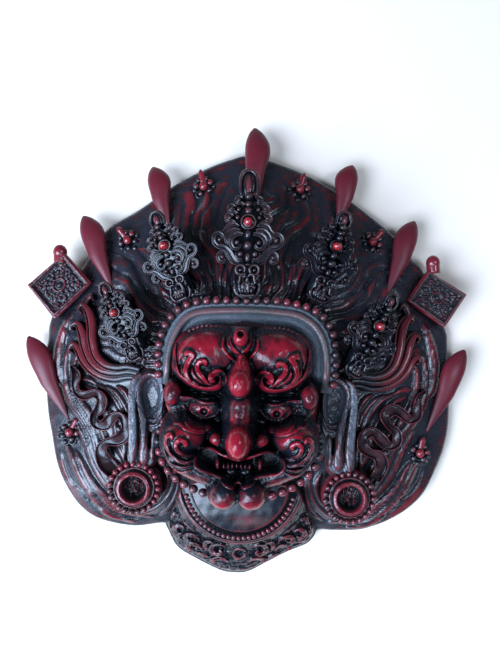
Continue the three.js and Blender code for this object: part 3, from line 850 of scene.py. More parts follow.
face_right, face_left = both_sides(np.array(FACE_EDGE) + (MIDDLE, 0), MIDDLE)
face_reach = reach_of(face_right.tolist() + face_left[-2:0:-1].tolist(), FACE_CENTRE)
face_mesh = ringed(FACE_CENTRE, face_reach, 720, np.linspace(0.008, 1, 128), face_front, 180,
                   [(share, under_face) for share in (1.0, 0.8, 0.55, 0.3)])
FACE_RUBBED = [
    (MIDDLE, -14, 7, 10, 0.55), (MIDDLE, -50, 8, 9, 0.75), (MIDDLE, -32, 6.5, 7, 0.08),
    (MIDDLE, -40, 7, 5, 0.3), (MIDDLE, -4, 5, 7, 0.36), (-2.3, 9, 4, 5, 0.3),
    (MIDDLE, -69, 8, 3, -0.15), (MIDDLE, -63.2, 15, 2.6, -0.3),
]
# The spot at (46, -58) darkens the jaw's outer edge: painted shade.
for side in (-1, 1):
    for x, y, rx, ry, amount in (
        (22, 4, 12, 6, 0.4), (30, -46, 14, 6, 0.4), (8.3, -85, 5, 4, 0.22), (24, -20, 14, 4, 0.16),
        (11, -31, 4.5, 8, -0.5), (21, -32, 6, 4, 0.26), (28, -38, 9, 5, -0.2), (16, -44, 6, 6, -0.25),
        (8.3, -76, 5, 4, -0.3), (34, -54, 12, 4, -0.2), (30, -63, 12, 6, -0.3), (7, -2, 6, 7, 0.14),
        (22, -10, 13, 7, 0.16), (28, -71, 14, 5, 0.12), (46, -58, 4, 14, -0.35), (40, -68, 7, 5, -0.1),
        (41, -25, 6, 5, -0.1), (12.9, -48, 4, 3, 0.05), (36, 0, 4, 8, 0.1), (9, -88.5, 8, 3, -0.4),
        (12, -57.5, 9, 2.5, -0.24), (14, -68.6, 10, 3, -0.24), (24, -27, 12, 2.6, -0.3),
        (34, -27, 8, 4, 0.1),
    ):
        FACE_RUBBED.append((MIDDLE + side * x, y, rx, ry, amount))
# steep_shade darkens the face's steep sides as painted shade.
face = cast_piece("face", *face_mesh, face_resin, spread=26, scale=1.1,
                  extra=handled(face_mesh[0], FACE_RUBBED), steep_shade=0.3)
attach(face, "root")
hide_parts("mask")


# ---- The headband ----
# A smooth arched band frames the forehead, with a groove and a slope on its inner side.
# A row of round beads stands on a ledge round its outside. All cast with the face.

# The band's red is a greyish mauve and its black a light bluish grey: part dusty patina, part painted
# light and bluish sheen on the band and its shaded inner slope.
band_resin = resin("band_resin", rubbed=-0.4, red=(0.13, 0.058, 0.062), black=(0.09, 0.105, 0.132),
                   edge=0.3, blotches=0.8, pitting=2.4, satin=0.12, dull=0.14)
bead_resin = resin("bead_resin", rubbed=-0.36, red=(0.18, 0.02, 0.03), edge=0.34, blotches=1.7)
BAND = [(-47.0, -21), (-46.8, -13), (-45.8, 0), (-43, 9.4), (-38.6, 17.4), (-32.8, 22.4), (-22.5, 24.8),
        (0.9, 26), (21.5, 25.3), (32.5, 23.6), (41.0, 18.6), (45.8, 12.6), (48.8, 5), (50.2, -5),
        (49.9, -14), (48.6, -23)]


def swept(line, profile):
    """A closed skin along a line. profile(share) gives the (across, up) pairs of the ring there."""
    along = np.gradient(line, axis=0)
    along[:, 2] = 0
    along /= np.linalg.norm(along, axis=1)[:, None]
    across = np.stack([-along[:, 1], along[:, 0], np.zeros(len(line))], axis=1)
    rings = []
    for k, share in enumerate(np.linspace(0, 1, len(line))):
        ring = np.array(profile(share))
        rings.append(line[k] + ring[:, :1] * across[k] + ring[:, 1:] * (0, 0, 1))
    return lofted(np.array(rings))


def along_skin(values, rings):
    """One value for each point of a swept skin, from the values round its profile."""
    return np.concatenate([[0], np.tile(values, rings), [0]])


def band_profile(share):
    top = [(-6.8, -14), (-7.0, -8.0), (-6.5, -5.8), (-5.5, -4.5), (-4.3, -3.1), (-3.3, -2.8),
           (-2.7, -3.8), (-2.1, -1.4), (-1.5, -0.3), (-0.6, 0.2), (0.5, 0.3), (1.4, -0.1), (2.1, -1.2),
           (2.4, -3.2), (3.0, -4.8), (3.6, -4.1), (4.6, -4.4), (5.8, -5.0), (7.0, -5.6), (8.2, -6.2),
           (9.4, -6.9), (10.2, -8.4), (10.4, -14)]
    ledge = 0.45 + 0.55 * min(1.0, 14 * min(share, 1 - share))
    ring = [(-across * (ledge if across > 4 else 1), up) for across, up in top]
    return ring + [(6, -13), (2, -13), (-3, -13)]


BAND_TOP = 58.0
BAND_END_DROP = 6.0
band_points = [(x, y, BAND_TOP) for x, y in BAND]
for end in (0, -1):
    band_points[end] = (*BAND[end], BAND_TOP - BAND_END_DROP)
band_line = evenly(curve_through(band_points, 12), 150)
# How far each point of the profile is rubbed, from the outer ledge over the ridge to the inner slope.
BAND_RUB = [-0.6] * 4 + [-0.3, -0.6, -0.6, -0.35, 0.0, 0.06, 0.06, 0.0, -0.2, -0.6, -0.6]
BAND_RUB += [-0.2, -0.1, -0.3] + [-0.5] * 8
band = cast_piece("headband", *swept(band_line, band_profile), band_resin, spread=4, scale=1.2,
                  extra=along_skin(BAND_RUB, len(band_line)))
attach(band, "root")
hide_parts("mask")


# One node tree sets every row of beads: balls at even steps along a line, each flattened and
# turned to the line, with its crown marked as proud and its foot as deep.
beading = bpy.data.node_groups.new("bead_row", "GeometryNodeTree")
beading.interface.new_socket("Line", in_out="INPUT", socket_type="NodeSocketGeometry")
sockets = {}
for socket_name, socket_type in (
    ("Beads", "NodeSocketInt"), ("First radius", "NodeSocketFloat"), ("Last radius", "NodeSocketFloat"),
    ("Length share", "NodeSocketFloat"), ("Material", "NodeSocketMaterial"),
):
    made = beading.interface.new_socket(socket_name, in_out="INPUT", socket_type=socket_type)
    sockets[socket_name] = made.identifier
beading.interface.new_socket("Beads", in_out="OUTPUT", socket_type="NodeSocketGeometry")
wanted = node(beading, "NodeGroupInput").outputs
path = node(beading, "GeometryNodeMeshToCurve", {"Mesh": wanted["Line"]}).outputs["Curve"]
steps = node(beading, "GeometryNodeResampleCurve", {"Curve": path, "Count": wanted["Beads"]})
ball = node(beading, "GeometryNodeMeshUVSphere", {"Segments": 14, "Rings": 9, "Radius": 1.0})
position = node(beading, "GeometryNodeInputPosition").outputs[0]
height = node(beading, "ShaderNodeSeparateXYZ", {0: position}).outputs["Z"]
crown = node(beading, "ShaderNodeMapRange", {
    "Value": height, "From Min": -0.7, "From Max": 0.6, "To Min": 0.1, "To Max": 0.8,
}, interpolation_type="SMOOTHSTEP")
marked = node(beading, "GeometryNodeStoreNamedAttribute", {
    "Geometry": ball.outputs["Mesh"], "Name": "raised", "Value": crown.outputs[0],
}, data_type="FLOAT", domain="POINT")
tangent = node(beading, "GeometryNodeInputTangent").outputs[0]
facing = node(beading, "FunctionNodeAlignRotationToVector", {"Vector": tangent}, axis="Y")
along = node(beading, "GeometryNodeSplineParameter").outputs["Factor"]
radius = node(beading, "ShaderNodeMapRange", {
    "Value": along, "To Min": wanted["First radius"], "To Max": wanted["Last radius"],
}).outputs[0]
length = node(beading, "ShaderNodeMath", {0: radius, 1: wanted["Length share"]}, operation="MULTIPLY")
size = node(beading, "ShaderNodeCombineXYZ", {"X": radius, "Y": length.outputs[0], "Z": radius})
strewn = node(beading, "GeometryNodeInstanceOnPoints", {
    "Points": steps.outputs["Curve"], "Instance": marked.outputs["Geometry"],
    "Rotation": facing.outputs[0], "Scale": size.outputs[0],
})
real = node(beading, "GeometryNodeRealizeInstances", {"Geometry": strewn.outputs["Instances"]})
painted = node(beading, "GeometryNodeSetMaterial", {
    "Geometry": real.outputs["Geometry"], "Material": wanted["Material"],
})
node(beading, "NodeGroupOutput", {"Beads": painted.outputs["Geometry"]})


def bead_row(name, line, count, radius, material, last_radius=None, length=0.9):
    """A row of beads along a line of (x, y, z), as one plain mesh."""
    guide_mesh = bpy.data.meshes.new(name + "_line")
    links = [(i, i + 1) for i in range(len(line) - 1)]
    guide_mesh.from_pydata((np.asarray(line) * MM).tolist(), links, [])
    guide = bpy.data.objects.new(name + "_line", guide_mesh)
    bpy.context.scene.collection.objects.link(guide)
    modifier = guide.modifiers.new("beads", "NODES")
    modifier.node_group = beading
    modifier[sockets["Beads"]] = count
    modifier[sockets["First radius"]] = radius * MM
    modifier[sockets["Last radius"]] = (last_radius or radius) * MM
    modifier[sockets["Length share"]] = length
    modifier[sockets["Material"]] = material
    guide.update_tag()
    seen = guide.evaluated_get(bpy.context.evaluated_depsgraph_get())
    mesh = bpy.data.meshes.new_from_object(seen)
    mesh.name = name
    mesh.shade_smooth()
    bpy.data.objects.remove(guide)
    bpy.data.meshes.remove(guide_mesh)
    row = bpy.data.objects.new(name, mesh)
    bpy.context.scene.collection.objects.link(row)
    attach(row, "root")
    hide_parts("mask")


BEAD_LEDGE = 55.0
BEAD_ARCH = [(-51.6, -14.5), (-52.3, -8), (-52.2, -1), (-50.8, 9.6), (-46.4, 19.4), (-37.8, 27.6),
             (-26.5, 30.8), (-14.1, 31.7), (-0.9, 32), (13, 32.3), (26.2, 31.5), (39.8, 28.2),
             (49.4, 21.2), (54.2, 10.3), (55.6, -2.7), (55.6, -10), (54.6, -17.5)]
bead_arch = curve_through([(x, y, BEAD_LEDGE) for x, y in BEAD_ARCH], 8)
bead_row("headband_beads", bead_arch, 30, 2.7, bead_resin, length=0.95)


# ---- The neck and the collar ----
# Under the chin a smooth neck, then a fine beaded edge, a plain band and a border of scrolls
# round a small medallion, all in low relief, running down to the foot of the casting.

collar_resin = resin("collar_resin", rubbed=-0.53, red=(0.14, 0.018, 0.024), edge=0.3, blotches=1.0,
                     pitting=0.12, satin=0.11, dull=0.02, gloss=0.36)
NECK_CENTRE = np.array([0.0, -82.0])
COLLAR_CENTRE = np.array([0.0, -112.0])
COLLAR_RIGHT = [(0, -79), (22, -79), (38, -85), (45, -97), (49, -109), (52.5, -119), (51.5, -124.8),
                (46.5, -130), (33.2, -136), (20.4, -143.2), (7.5, -150.2), (-2.2, -151.6)]
COLLAR_LEFT = [(-12, -150.2), (-27.7, -143.2), (-41.1, -135.7), (-47, -126.5), (-50.5, -119), (-48, -109),
               (-44, -97), (-38, -85), (-22, -79)]
COLLAR_SCROLLS = [  # on the right side of the middle, mirrored on the left
    ([(9, -127.5), (13.5, -126), (17.5, -128), (18.5, -132), (15.5, -134.6), (12.6, -133),
      (13.6, -130.6)], 1.3, 2.4),
    ([(19, -134), (22.5, -131), (22.6, -126.6), (19.6, -124.6), (17.4, -126)], 1.2, 2.2),
    ([(24, -134), (27, -130), (31.5, -128.6), (34.5, -131), (33, -133.6), (30.4, -132.6)], 1.3, 2.4),
    ([(26, -126.5), (29, -122.6), (33.6, -121.6), (36.4, -124.4), (34.4, -127), (31.8, -125.6)],
     1.3, 2.4),
    ([(36, -119), (39.5, -116.5), (43, -118), (43.6, -121.6), (40.6, -123.4), (38.6, -121.4)], 1.3, 2.2),
    ([(38, -126.6), (41.6, -126.4), (44.6, -123.6), (46.6, -119.6)], 1.0, 1.8),
    ([(40.4, -111), (43.4, -109), (46, -111.6), (44.6, -114.4)], 1.1, 1.8),
    ([(20, -138.6), (25, -137.4), (29, -135.8)], 1.0, 1.6),
    ([(45, -103), (46.6, -107), (44.4, -108.6)], 1.0, 1.6),
    ([(46.4, -123), (49, -119), (48, -114.6)], 1.0, 1.6),
    ([(29, -118.8), (33.6, -116), (38.4, -111.6)], 0.9, 1.4),
    ([(6.5, -141), (10.5, -138.4), (15.4, -138.6), (18, -141), (15.4, -143)], 1.1, 2.0),
]


def casting_height(x, y):
    """The fan and the swelling behind the face together."""
    return np.maximum(dome_height(x, y), fan_height(x, y))


def collar_front(x, y, share, angle):
    far = np.hypot(x - NECK_CENTRE[0], y - NECK_CENTRE[1])
    ground = fan_height(x, y)
    neck = 45.5 - 0.0035 * far**2
    ledge = np.interp(far, [0, 31.4, 32.2, 33.0, 37.0, 37.8, 38.4, 39.2, 40.4, 41.6, 42.2, 43.0, 44.2],
                      [0, 0, -3.4, -3.8, -4.6, -5.6, -4.6, -3.8, -3.6, -4.4, -6.4, -8.0, -8.6])
    z = neck + ledge
    outer = ground + 4.6 - 2.2 * smooth_step(share, 0.55, 1.0) + 0.4 * waves(x, y, 5, 42, 2)
    border = smooth_step(far, 43, 50)
    z = np.where(far < 43, z, np.minimum(z, z * (1 - border) + outer * border))
    collar = Relief(x, y, z + 0.15 * waves(x, y, 16, 41, 2))
    strokes = [(curve_through(line, 8), half * 1.6, height * 1.5, (0.35, 0.2), -1)
               for points, half, height in COLLAR_SCROLLS for line in both_sides(points, 0.4)]
    turn = np.linspace(0, 2 * math.pi, 25)
    medallion = np.stack([0.7 + 3.9 * np.cos(turn), -133.1 + 3.9 * np.sin(turn)], axis=1)
    strokes.append((medallion, 1.5, 2.6, (0, 0), 0))
    for a in np.radians(np.linspace(-150, -30, 15)):
        at = NECK_CENTRE + 43.8 * np.array([math.cos(a), math.sin(a)])
        strokes.append((np.array([at - (0.3, 0), at + (0.3, 0)]), 1.3, 1.4, (0, 0), 0))
    for dot, half in (
        ((-9.3, -131.6), 2.2), ((11.4, -137.2), 1.5), ((-10.6, -137.2), 1.5), ((0.4, -142.4), 2.0),
        ((0.4, -147), 1.4), ((-5.5, -145), 1.3), ((6.4, -145), 1.3), ((10.2, -131.8), 2.0),
    ):
        strokes.append((np.array([dot, (dot[0] + 0.2, dot[1])]), half, half * 1.1, (0, 0), 0))
    collar.strokes(strokes)
    edge = smooth_step(share, 0.93, 1.0)
    foot = np.where(y < -100, RIM + 0.5, casting_height(x, y) - 1)
    return collar.z * (1 - edge) + edge * foot


def under_collar(x, y):
    return np.where(y < -112, 3.0, np.maximum(fan_height(x, y) - 4, 3))


collar_reach = reach_of(COLLAR_RIGHT + COLLAR_LEFT, COLLAR_CENTRE)
collar_mesh = ringed(
    COLLAR_CENTRE, collar_reach, 480, np.linspace(0.02, 1, 84), collar_front, 120,
    [(0.995, level_at(3)), (0.85, under_collar), (0.5, under_collar), (0.2, under_collar)])
collar_x, collar_y = (collar_mesh[0][:, :2] - COLLAR_CENTRE).T
collar_out = np.hypot(collar_x, collar_y) / collar_reach(np.arctan2(collar_y, collar_x))
collar_rub = handled(collar_mesh[0], [(4, -106, 18, 7, 0.42), (-6, -141, 30, 12, 0.06)])
collar_rub = collar_rub - 0.1 - 0.6 * smooth_step(collar_out, 0.93, 0.99)
collar = cast_piece("neck_and_collar", *collar_mesh, collar_resin, spread=16, scale=0.9, extra=collar_rub)
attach(collar, "root")
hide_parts("mask")

COLLAR_BEADS_REACH = 35.1
COLLAR_BEADS_HEIGHT = 41.4
sweep = np.radians(np.linspace(-164, -16, 40))
collar_arc = NECK_CENTRE + COLLAR_BEADS_REACH * np.stack([np.cos(sweep), np.sin(sweep)], axis=1)
collar_arc = np.column_stack([collar_arc, np.full(len(sweep), COLLAR_BEADS_HEIGHT)])
bead_row("collar_beads", collar_arc, 29, 1.75, bead_resin, length=0.85)


# ---- The ears and their straps ----
# Long split lobes: a looped rim round a deep bowl, running down into two straps to the ear ring.
# They stand against the sides of the face, in the same resin, grey with patina: a light bluish-grey black
# that is part dust, part painted sheen of the windows' light.

ear_resin = resin("ear_resin", rubbed=-0.6, red=(0.13, 0.024, 0.032), black=(0.05, 0.057, 0.074),
                  edge=0.45, blotches=0.9, pitting=0.9, satin=0.1, dull=0.04)
EAR_CENTRE = np.array([61.6, -40.0])
EAR_EDGE = [(57, -12.5), (64, -12.6), (70, -16), (72.6, -23), (73, -34), (72.4, -46), (72, -58),
            (72.4, -72), (69, -78), (60, -78), (55, -74), (53.4, -66), (52.6, -56), (50, -48),
            (48.6, -40), (48.2, -30), (48.4, -21), (51, -15.4)]
EAR_LOOP = [(54.2, -43.4), (52.0, -37), (51.4, -28), (52.6, -20.6), (56.0, -16.4), (61.4, -17),
            (65.2, -22.4), (65.6, -31), (63.8, -39), (61.6, -46), (61.4, -57), (61.0, -72)]


def ear_front(side):
    def front(x, y, share, angle):
        x = side * x
        ear = Relief(x, y, 42.5 + 0 * x)
        ear.dent(58.3, -30.6, 6.0, 12.6, 6.8, angle=-0.06, power=1.15)
        strokes = [(curve_through(EAR_LOOP, 8), 2.0, 3.8, (0.08, 0.1), -1)]
        for points, half, height in (
            ([(64, -15), (69.2, -19), (70.0, -30), (69.0, -45), (68.2, -58), (68.8, -74)], 3.3, 2.8),
            ([(66.8, -26), (66.2, -40), (64.6, -56), (64.8, -74)], 0.8, -1.8),
            ([(61.0, -50), (61.0, -60), (61.2, -73)], 3.1, 2.9),
            ([(52.6, -41), (55.6, -44.6), (60.4, -43.8)], 1.2, 1.8),
            ([(50.4, -39), (53.8, -46.8), (59.6, -47.6)], 1.1, 1.6),
            ([(54.6, -50), (56, -58), (56, -70)], 1.7, 2.0),
            ([(57.9, -52), (58.0, -57), (57.7, -62.6)], 1.2, -6.0),
        ):
            strokes.append((curve_through(points, 8), half, height, (0.15, 0.15),
                            -1 if half > 2.5 else 0))
        ear.strokes(strokes)
        bowl = np.exp(-(((x - 58.3) / 5) ** 2) - ((y + 30.6) / 11) ** 2)
        ear.z = ear.z + 0.14 * waves(x, y, 9, 51) + (0.03 + 0.4 * bowl) * waves(x, y, 2.4, 52)
        edge = smooth_step(share, 0.9, 1.0)
        return ear.z * (1 - edge) + edge * 38
    return front


def under_ear(x, y):
    return casting_height(x, y) - 4


for name, side in (("ear_left", -1), ("ear_right", 1)):
    centre = EAR_CENTRE * (side, 1)
    outline = [(side * x, y) for x, y in EAR_EDGE]
    ear_mesh = ringed(centre, reach_of(outline, centre), 320, np.linspace(0.02, 1, 64), ear_front(side),
                      80, [(share, under_ear) for share in (1.0, 0.6, 0.2)])
    ear = cast_piece(name, *ear_mesh, ear_resin, spread=12, scale=0.7)
    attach(ear, "root")
    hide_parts("mask")


# ---- The ear rings ----
# Drums with a red rubbed ring round a deep rough hole, and beads set round the outside.
# They hang below the ears and are cast in one with them and with the fan.

ring_resin = resin("ring_resin", rubbed=-0.28, red=(0.165, 0.014, 0.022), edge=0.3, blotches=0.5,
                   pitting=0.9)
EAR_RINGS = [("ear_ring_left", (-66.9, -87.6)), ("ear_ring_right", (69.1, -89.4))]
DRUM_RADIUS = 16.8
DRUM_BEADS_REACH = 15.2
DRUM_BEADS_HEIGHT = 43.0


def drum_front(x, y, share, angle):
    far = DRUM_RADIUS * share
    z = np.interp(far, [0, 4, 6.6, 7.5, 8.0, 8.8, 10.4, 11.0, 11.6, 12.4, 13.4, 15.8, DRUM_RADIUS],
                  [36.5, 37, 38.0, 42, 45.6, 46.9, 46.3, 44.4, 42.0, 43.4, 42.4, 41.0, 38.0])
    inside_hole = 1 - smooth_step(far, 6, 8)
    return z + inside_hole * 0.9 * waves(x, y, 4, 61) + 0.15 * waves(x, y, 7, 62)


def drum_reach(angle):
    return np.full(np.shape(angle), DRUM_RADIUS)


def under_drum(x, y):
    return fan_height(x, y) - 4


for name, centre in EAR_RINGS:
    drum_mesh = ringed(np.array(centre), drum_reach, 160, np.linspace(0.02, 1, 50), drum_front, 40,
                       [(share, under_drum) for share in (1.0, 0.6, 0.2)])
    drum = cast_piece(name, *drum_mesh, ring_resin, spread=10, scale=0.7)
    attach(drum, "root")
    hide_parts("mask")
    turn = np.linspace(0, 2 * math.pi, 60)
    circle = centre + DRUM_BEADS_REACH * np.stack([np.cos(turn), np.sin(turn)], axis=1)
    circle = np.column_stack([circle, np.full(len(turn), DRUM_BEADS_HEIGHT)])
    bead_row(name + "_beads", circle, 24, 1.95, bead_resin)


# ---- The scarf ribbons ----
# A narrow scarf flutters down each side in folds. Its edges are raised and rubbed red.
# It lies on the hair in low relief, in the same resin.

ribbon_resin = resin("ribbon_resin", rubbed=-0.2, red=(0.14, 0.02, 0.028), edge=0.4, blotches=0.9,
                     pitting=0.5, satin=0.04, gloss=0.3)
RIBBON_LEFT = [  # x, y, half width
    (-82, -80, 4.2), (-88.3, -74, 4.2), (-90.6, -66.5, 4.0), (-87, -61.2, 2.2), (-80, -59.2, 3.6),
    (-74.6, -54.8, 3.8), (-74, -48.4, 3.2), (-78.6, -43, 1.8), (-84, -45.4, 3.2), (-89, -50.2, 3.4),
    (-94.6, -49.6, 3.0), (-96.4, -44.6, 2.0), (-92.4, -39.8, 3.0), (-91, -33.4, 3.4), (-95.8, -29.8, 2.4),
    (-102.6, -31.8, 2.6), (-108.4, -30.4, 2.6), (-110.4, -25, 2.4), (-109.8, -18.6, 2.2),
    (-113.7, -12.8, 0.8),
]
RIBBON_RIGHT = [
    (87, -80, 4.0), (91.1, -72, 4.2), (88.6, -64.4, 3.4), (82, -61.8, 2.6), (77, -57, 3.4),
    (78, -50.8, 3.0), (83.8, -48.2, 2.4), (89.2, -53, 3.4), (94.6, -57.6, 2.6), (99.8, -55.6, 2.6),
    (100.0, -49.2, 2.4), (93.7, -43.6, 2.0), (91.8, -37.8, 3.2), (97, -33.8, 3.0), (103.3, -36.6, 2.8),
    (108.4, -40.6, 2.4), (113.4, -38.6, 2.6), (114.4, -31.8, 2.4), (115, -26, 1.6), (120.3, -21.6, 0.8),
]
RIBBON_WIDEN = 1.12
RIBBON_LIFT = 6.2


def ribbon_mesh(points):
    line = curve_through([(x, y, 0, half) for x, y, half in points], 9)
    line[:, 2] = fan_height(line[:, 0], line[:, 1]) + RIBBON_LIFT
    halves = line[:, 3]

    def profile(share):
        half = np.interp(share, np.linspace(0, 1, len(halves)), halves)
        tilt = 0.7 * math.sin(share * 34 + 0.6)
        shape = [(-0.96, -6.5), (-1.0, -1.4), (-1.03, 0.4), (-0.98, 1.1), (-0.88, 1.1), (-0.8, 0.2),
                 (-0.72, -0.9), (-0.5, -1.3), (0, -1.5), (0.5, -1.3), (0.72, -0.9), (0.8, 0.2),
                 (0.88, 1.1), (0.98, 1.1), (1.03, 0.4), (1.0, -1.4), (0.96, -6.5)]
        return [(across * half * RIBBON_WIDEN, up * 0.9 + across * half * tilt) for across, up in shape]

    return swept(line[:, :3], profile)


RIBBON_RUB = [-0.4, -0.3, 0.05, 0.26, 0.1, -0.25, 0.1, 0.2, 0.24, 0.2, 0.12, -0.2, 0.1, 0.26, 0.05, -0.3,
              -0.4]
for name, points in (("ribbon_left", RIBBON_LEFT), ("ribbon_right", RIBBON_RIGHT)):
    skin = ribbon_mesh(points)
    rub = along_skin(RIBBON_RUB, (len(skin[0]) - 2) // len(RIBBON_RUB))
    ribbon = cast_piece(name, *skin, ribbon_resin, spread=4, scale=1.5, extra=rub)
    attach(ribbon, "root")
    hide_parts("mask")


# ---- The flame tresses ----
# Three tongues of hair leave each temple as one ridged bundle and part into curled tips.
# They are cast with the hair that they lie on, and rubbed red along their ridges.

tress_resin = resin("tress_resin", rubbed=-0.28, red=(0.125, 0.014, 0.019), edge=0.4, blotches=0.9,
                    pitting=0.6, satin=0.08, gloss=0.34)
TRESSES = [  # on the left: line, half width, height above the hair
    ([(-66, -13.4), (-74, -12.2), (-82.2, -13.0), (-90.4, -11.2), (-96.8, -5.2), (-99.9, 4.5),
      (-101, 14.3), (-103.6, 22), (-108.6, 27), (-110.6, 24.2), (-108.6, 22)], 3.1, 6.2),
    ([(-104, 20), (-106.6, 28.4), (-103.6, 33.6), (-100.8, 30.6)], 1.6, 5.6),
    ([(-65, -16.4), (-74, -15.4), (-82.5, -16.6), (-92.4, -15.2), (-99.8, -10), (-105, -0.6),
      (-107.4, 8.5), (-111.4, 14.6), (-115.4, 13), (-114, 9.6)], 2.9, 5.4),
    ([(-64, -19.2), (-74, -18.8), (-82.8, -20.6), (-92.7, -19.1), (-100.8, -14.8), (-106.3, -9),
      (-109.8, -2.6), (-114, 0.8), (-116.4, -2.6), (-113.8, -4.6)], 2.7, 4.6),
]


def tress_mesh(points, half, lift, side):
    line = curve_through([(side * -x, y) for x, y in points], 8)
    line = np.column_stack([line, fan_height(line[:, 0], line[:, 1]) + lift])

    def profile(share):
        wide = half * (0.6 + 0.6 * math.sin(min(share * 1.4, 1) * math.pi / 2))
        wide *= 1 - 0.78 * smooth_step(np.array(share), 0.62, 0.96)
        shape = [(-1.0, -2.6), (-1.03, -0.7), (-0.94, -0.15), (-0.72, 0.15), (-0.35, 0.2), (0.05, 0.18),
                 (0.34, 0.02), (0.44, -0.6), (0.54, -0.62), (0.64, -0.2), (0.86, -0.18), (1.02, -0.8),
                 (1.0, -2.6)]
        return [(across * wide, up * 0.9 * wide - (3 if up < -2 else 0)) for across, up in shape]

    return swept(line, profile)


TRESS_RUB = [-0.6, -0.6, -0.2, 0.1, 0.14, 0.08, -0.1, -0.6, -0.6, -0.16, -0.1, -0.6, -0.6]
for name, side in (("tresses_left", -1), ("tresses_right", 1)):
    skins = [tress_mesh(*tress, side) for tress in TRESSES]
    rub = []
    for verts, _ in skins:
        ridges = along_skin(TRESS_RUB, (len(verts) - 2) // len(TRESS_RUB))
        rub.append(ridges - 0.42 * (1 - smooth_step(np.abs(verts[:, 0]), 76, 96)))
    tresses = cast_piece(name, *gathered(skins), tress_resin, spread=4, scale=1.5,
                         extra=np.concatenate(rub))
    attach(tresses, "root")
    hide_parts("mask")


# ---- The five crown leaves ----
# Tall leaves of open scrollwork stand on little skulls above the headband. Each has a backing
# plate, a middle stem of beads with one red jewel, and scrolls that end in balls on both sides.
# They are cast with the fan, to which a web of resin joins each of them from behind.

leaf_resin = resin("leaf_resin", rubbed=-0.5, red=(0.12, 0.022, 0.028), edge=0.36, blotches=0.9,
                   pitting=0.4, satin=0.04, dull=0.02, gloss=0.33)
jewel_resin = resin("jewel_resin", rubbed=0.9, red=(0.28, 0.012, 0.016), blotches=0.1, pitting=0.1,
                    coat=0.6)


class Ornament:
    """Closed balls, tubes and rings gathered into one skin, drawn in a plan of its own."""

    def __init__(self):
        self.meshes, self.raised = [], []

    def add(self, verts, faces):
        z = verts[:, 2]
        up = (z - z.min()) / max(np.ptp(z), 1e-6)
        self.meshes.append((verts, faces))
        self.raised.append(0.12 + 0.68 * up**1.5)

    def ball(self, x, y, z, rx, ry=None, rz=None, ribs=0, around=14, rings=9):
        """A ball or egg, with ribs along it if it is fluted."""
        ry, rz = ry or rx, rz or rx
        lat = np.linspace(-math.pi / 2, math.pi / 2, rings + 2)[1:-1]
        lon = np.arange(around) * 2 * math.pi / around
        lat, lon = np.meshgrid(lat, lon, indexing="ij")
        swell = 1 + 0.13 * np.cos(ribs * lon) * np.cos(lat) if ribs else 1
        body = np.stack([x + rx * swell * np.cos(lat) * np.cos(lon), y + ry * np.sin(lat),
                         z + rz * swell * np.cos(lat) * np.sin(lon)], axis=2)
        self.add(*lofted(body, np.array([x, y - ry, z]), np.array([x, y + ry, z])))

    def tube(self, points, half, z, height=None, taper=(0.5, 1.0), around=8):
        """A cord along (x, y) or (x, y, z) points; taper gives its share of thickness at both ends."""
        half = half * 1.35
        height = height or half
        line = curve_through(points, 5)
        if line.shape[1] == 2:
            line = np.column_stack([line, np.full(len(line), float(z))])
        turn = np.arange(around) * 2 * math.pi / around

        def profile(share):
            thick = taper[0] + (1 - taper[0]) * min(1, share * 3)
            thick *= taper[1] + (1 - taper[1]) * min(1, (1 - share) * 3)
            return np.stack([half * thick * np.cos(turn), height * thick * np.sin(turn)], axis=1)

        self.add(*swept(line, profile))

    def band(self, points, z):
        """A flat band with raised rims along (x, y, half width) points, thickest where it is wide."""
        line = curve_through(points, 5)
        halves = line[:, 2].copy()
        line[:, 2] = z

        def profile(share):
            half = np.interp(share, np.linspace(0, 1, len(halves)), halves)
            rim = min(0.32, 0.3 * half)
            return [(-half, -2.2), (-half - 0.05, 0.25), (-half + rim, 0.55), (-half + 2 * rim, 0.1),
                    (0, -0.05), (half - 2 * rim, 0.1), (half - rim, 0.55), (half + 0.05, 0.25),
                    (half, -2.2)]

        self.add(*swept(line, profile))

    def ring(self, x, y, z, big, small, around=18, sides=8):
        """A ring that lies flat: its reach, and the half thickness of its wire."""
        turn = np.arange(around) * 2 * math.pi / around
        tilt = np.arange(sides) * 2 * math.pi / sides
        turn, tilt = np.meshgrid(turn, tilt, indexing="ij")
        far = big + small * np.cos(tilt)
        verts = np.stack([x + far * np.cos(turn), y + far * np.sin(turn), z + small * np.sin(tilt)],
                         axis=2)
        faces = []
        for i in range(around):
            for j in range(sides):
                k, m = (i + 1) % around, (j + 1) % sides
                faces.append([i * sides + j, k * sides + j, k * sides + m, i * sides + m])
        self.add(verts.reshape(-1, 3), faces)

    def placed(self, place):
        """The whole skin, moved from its own plan by place, and its raised values."""
        verts, faces = gathered(self.meshes)
        return place(verts), faces, np.concatenate(self.raised)


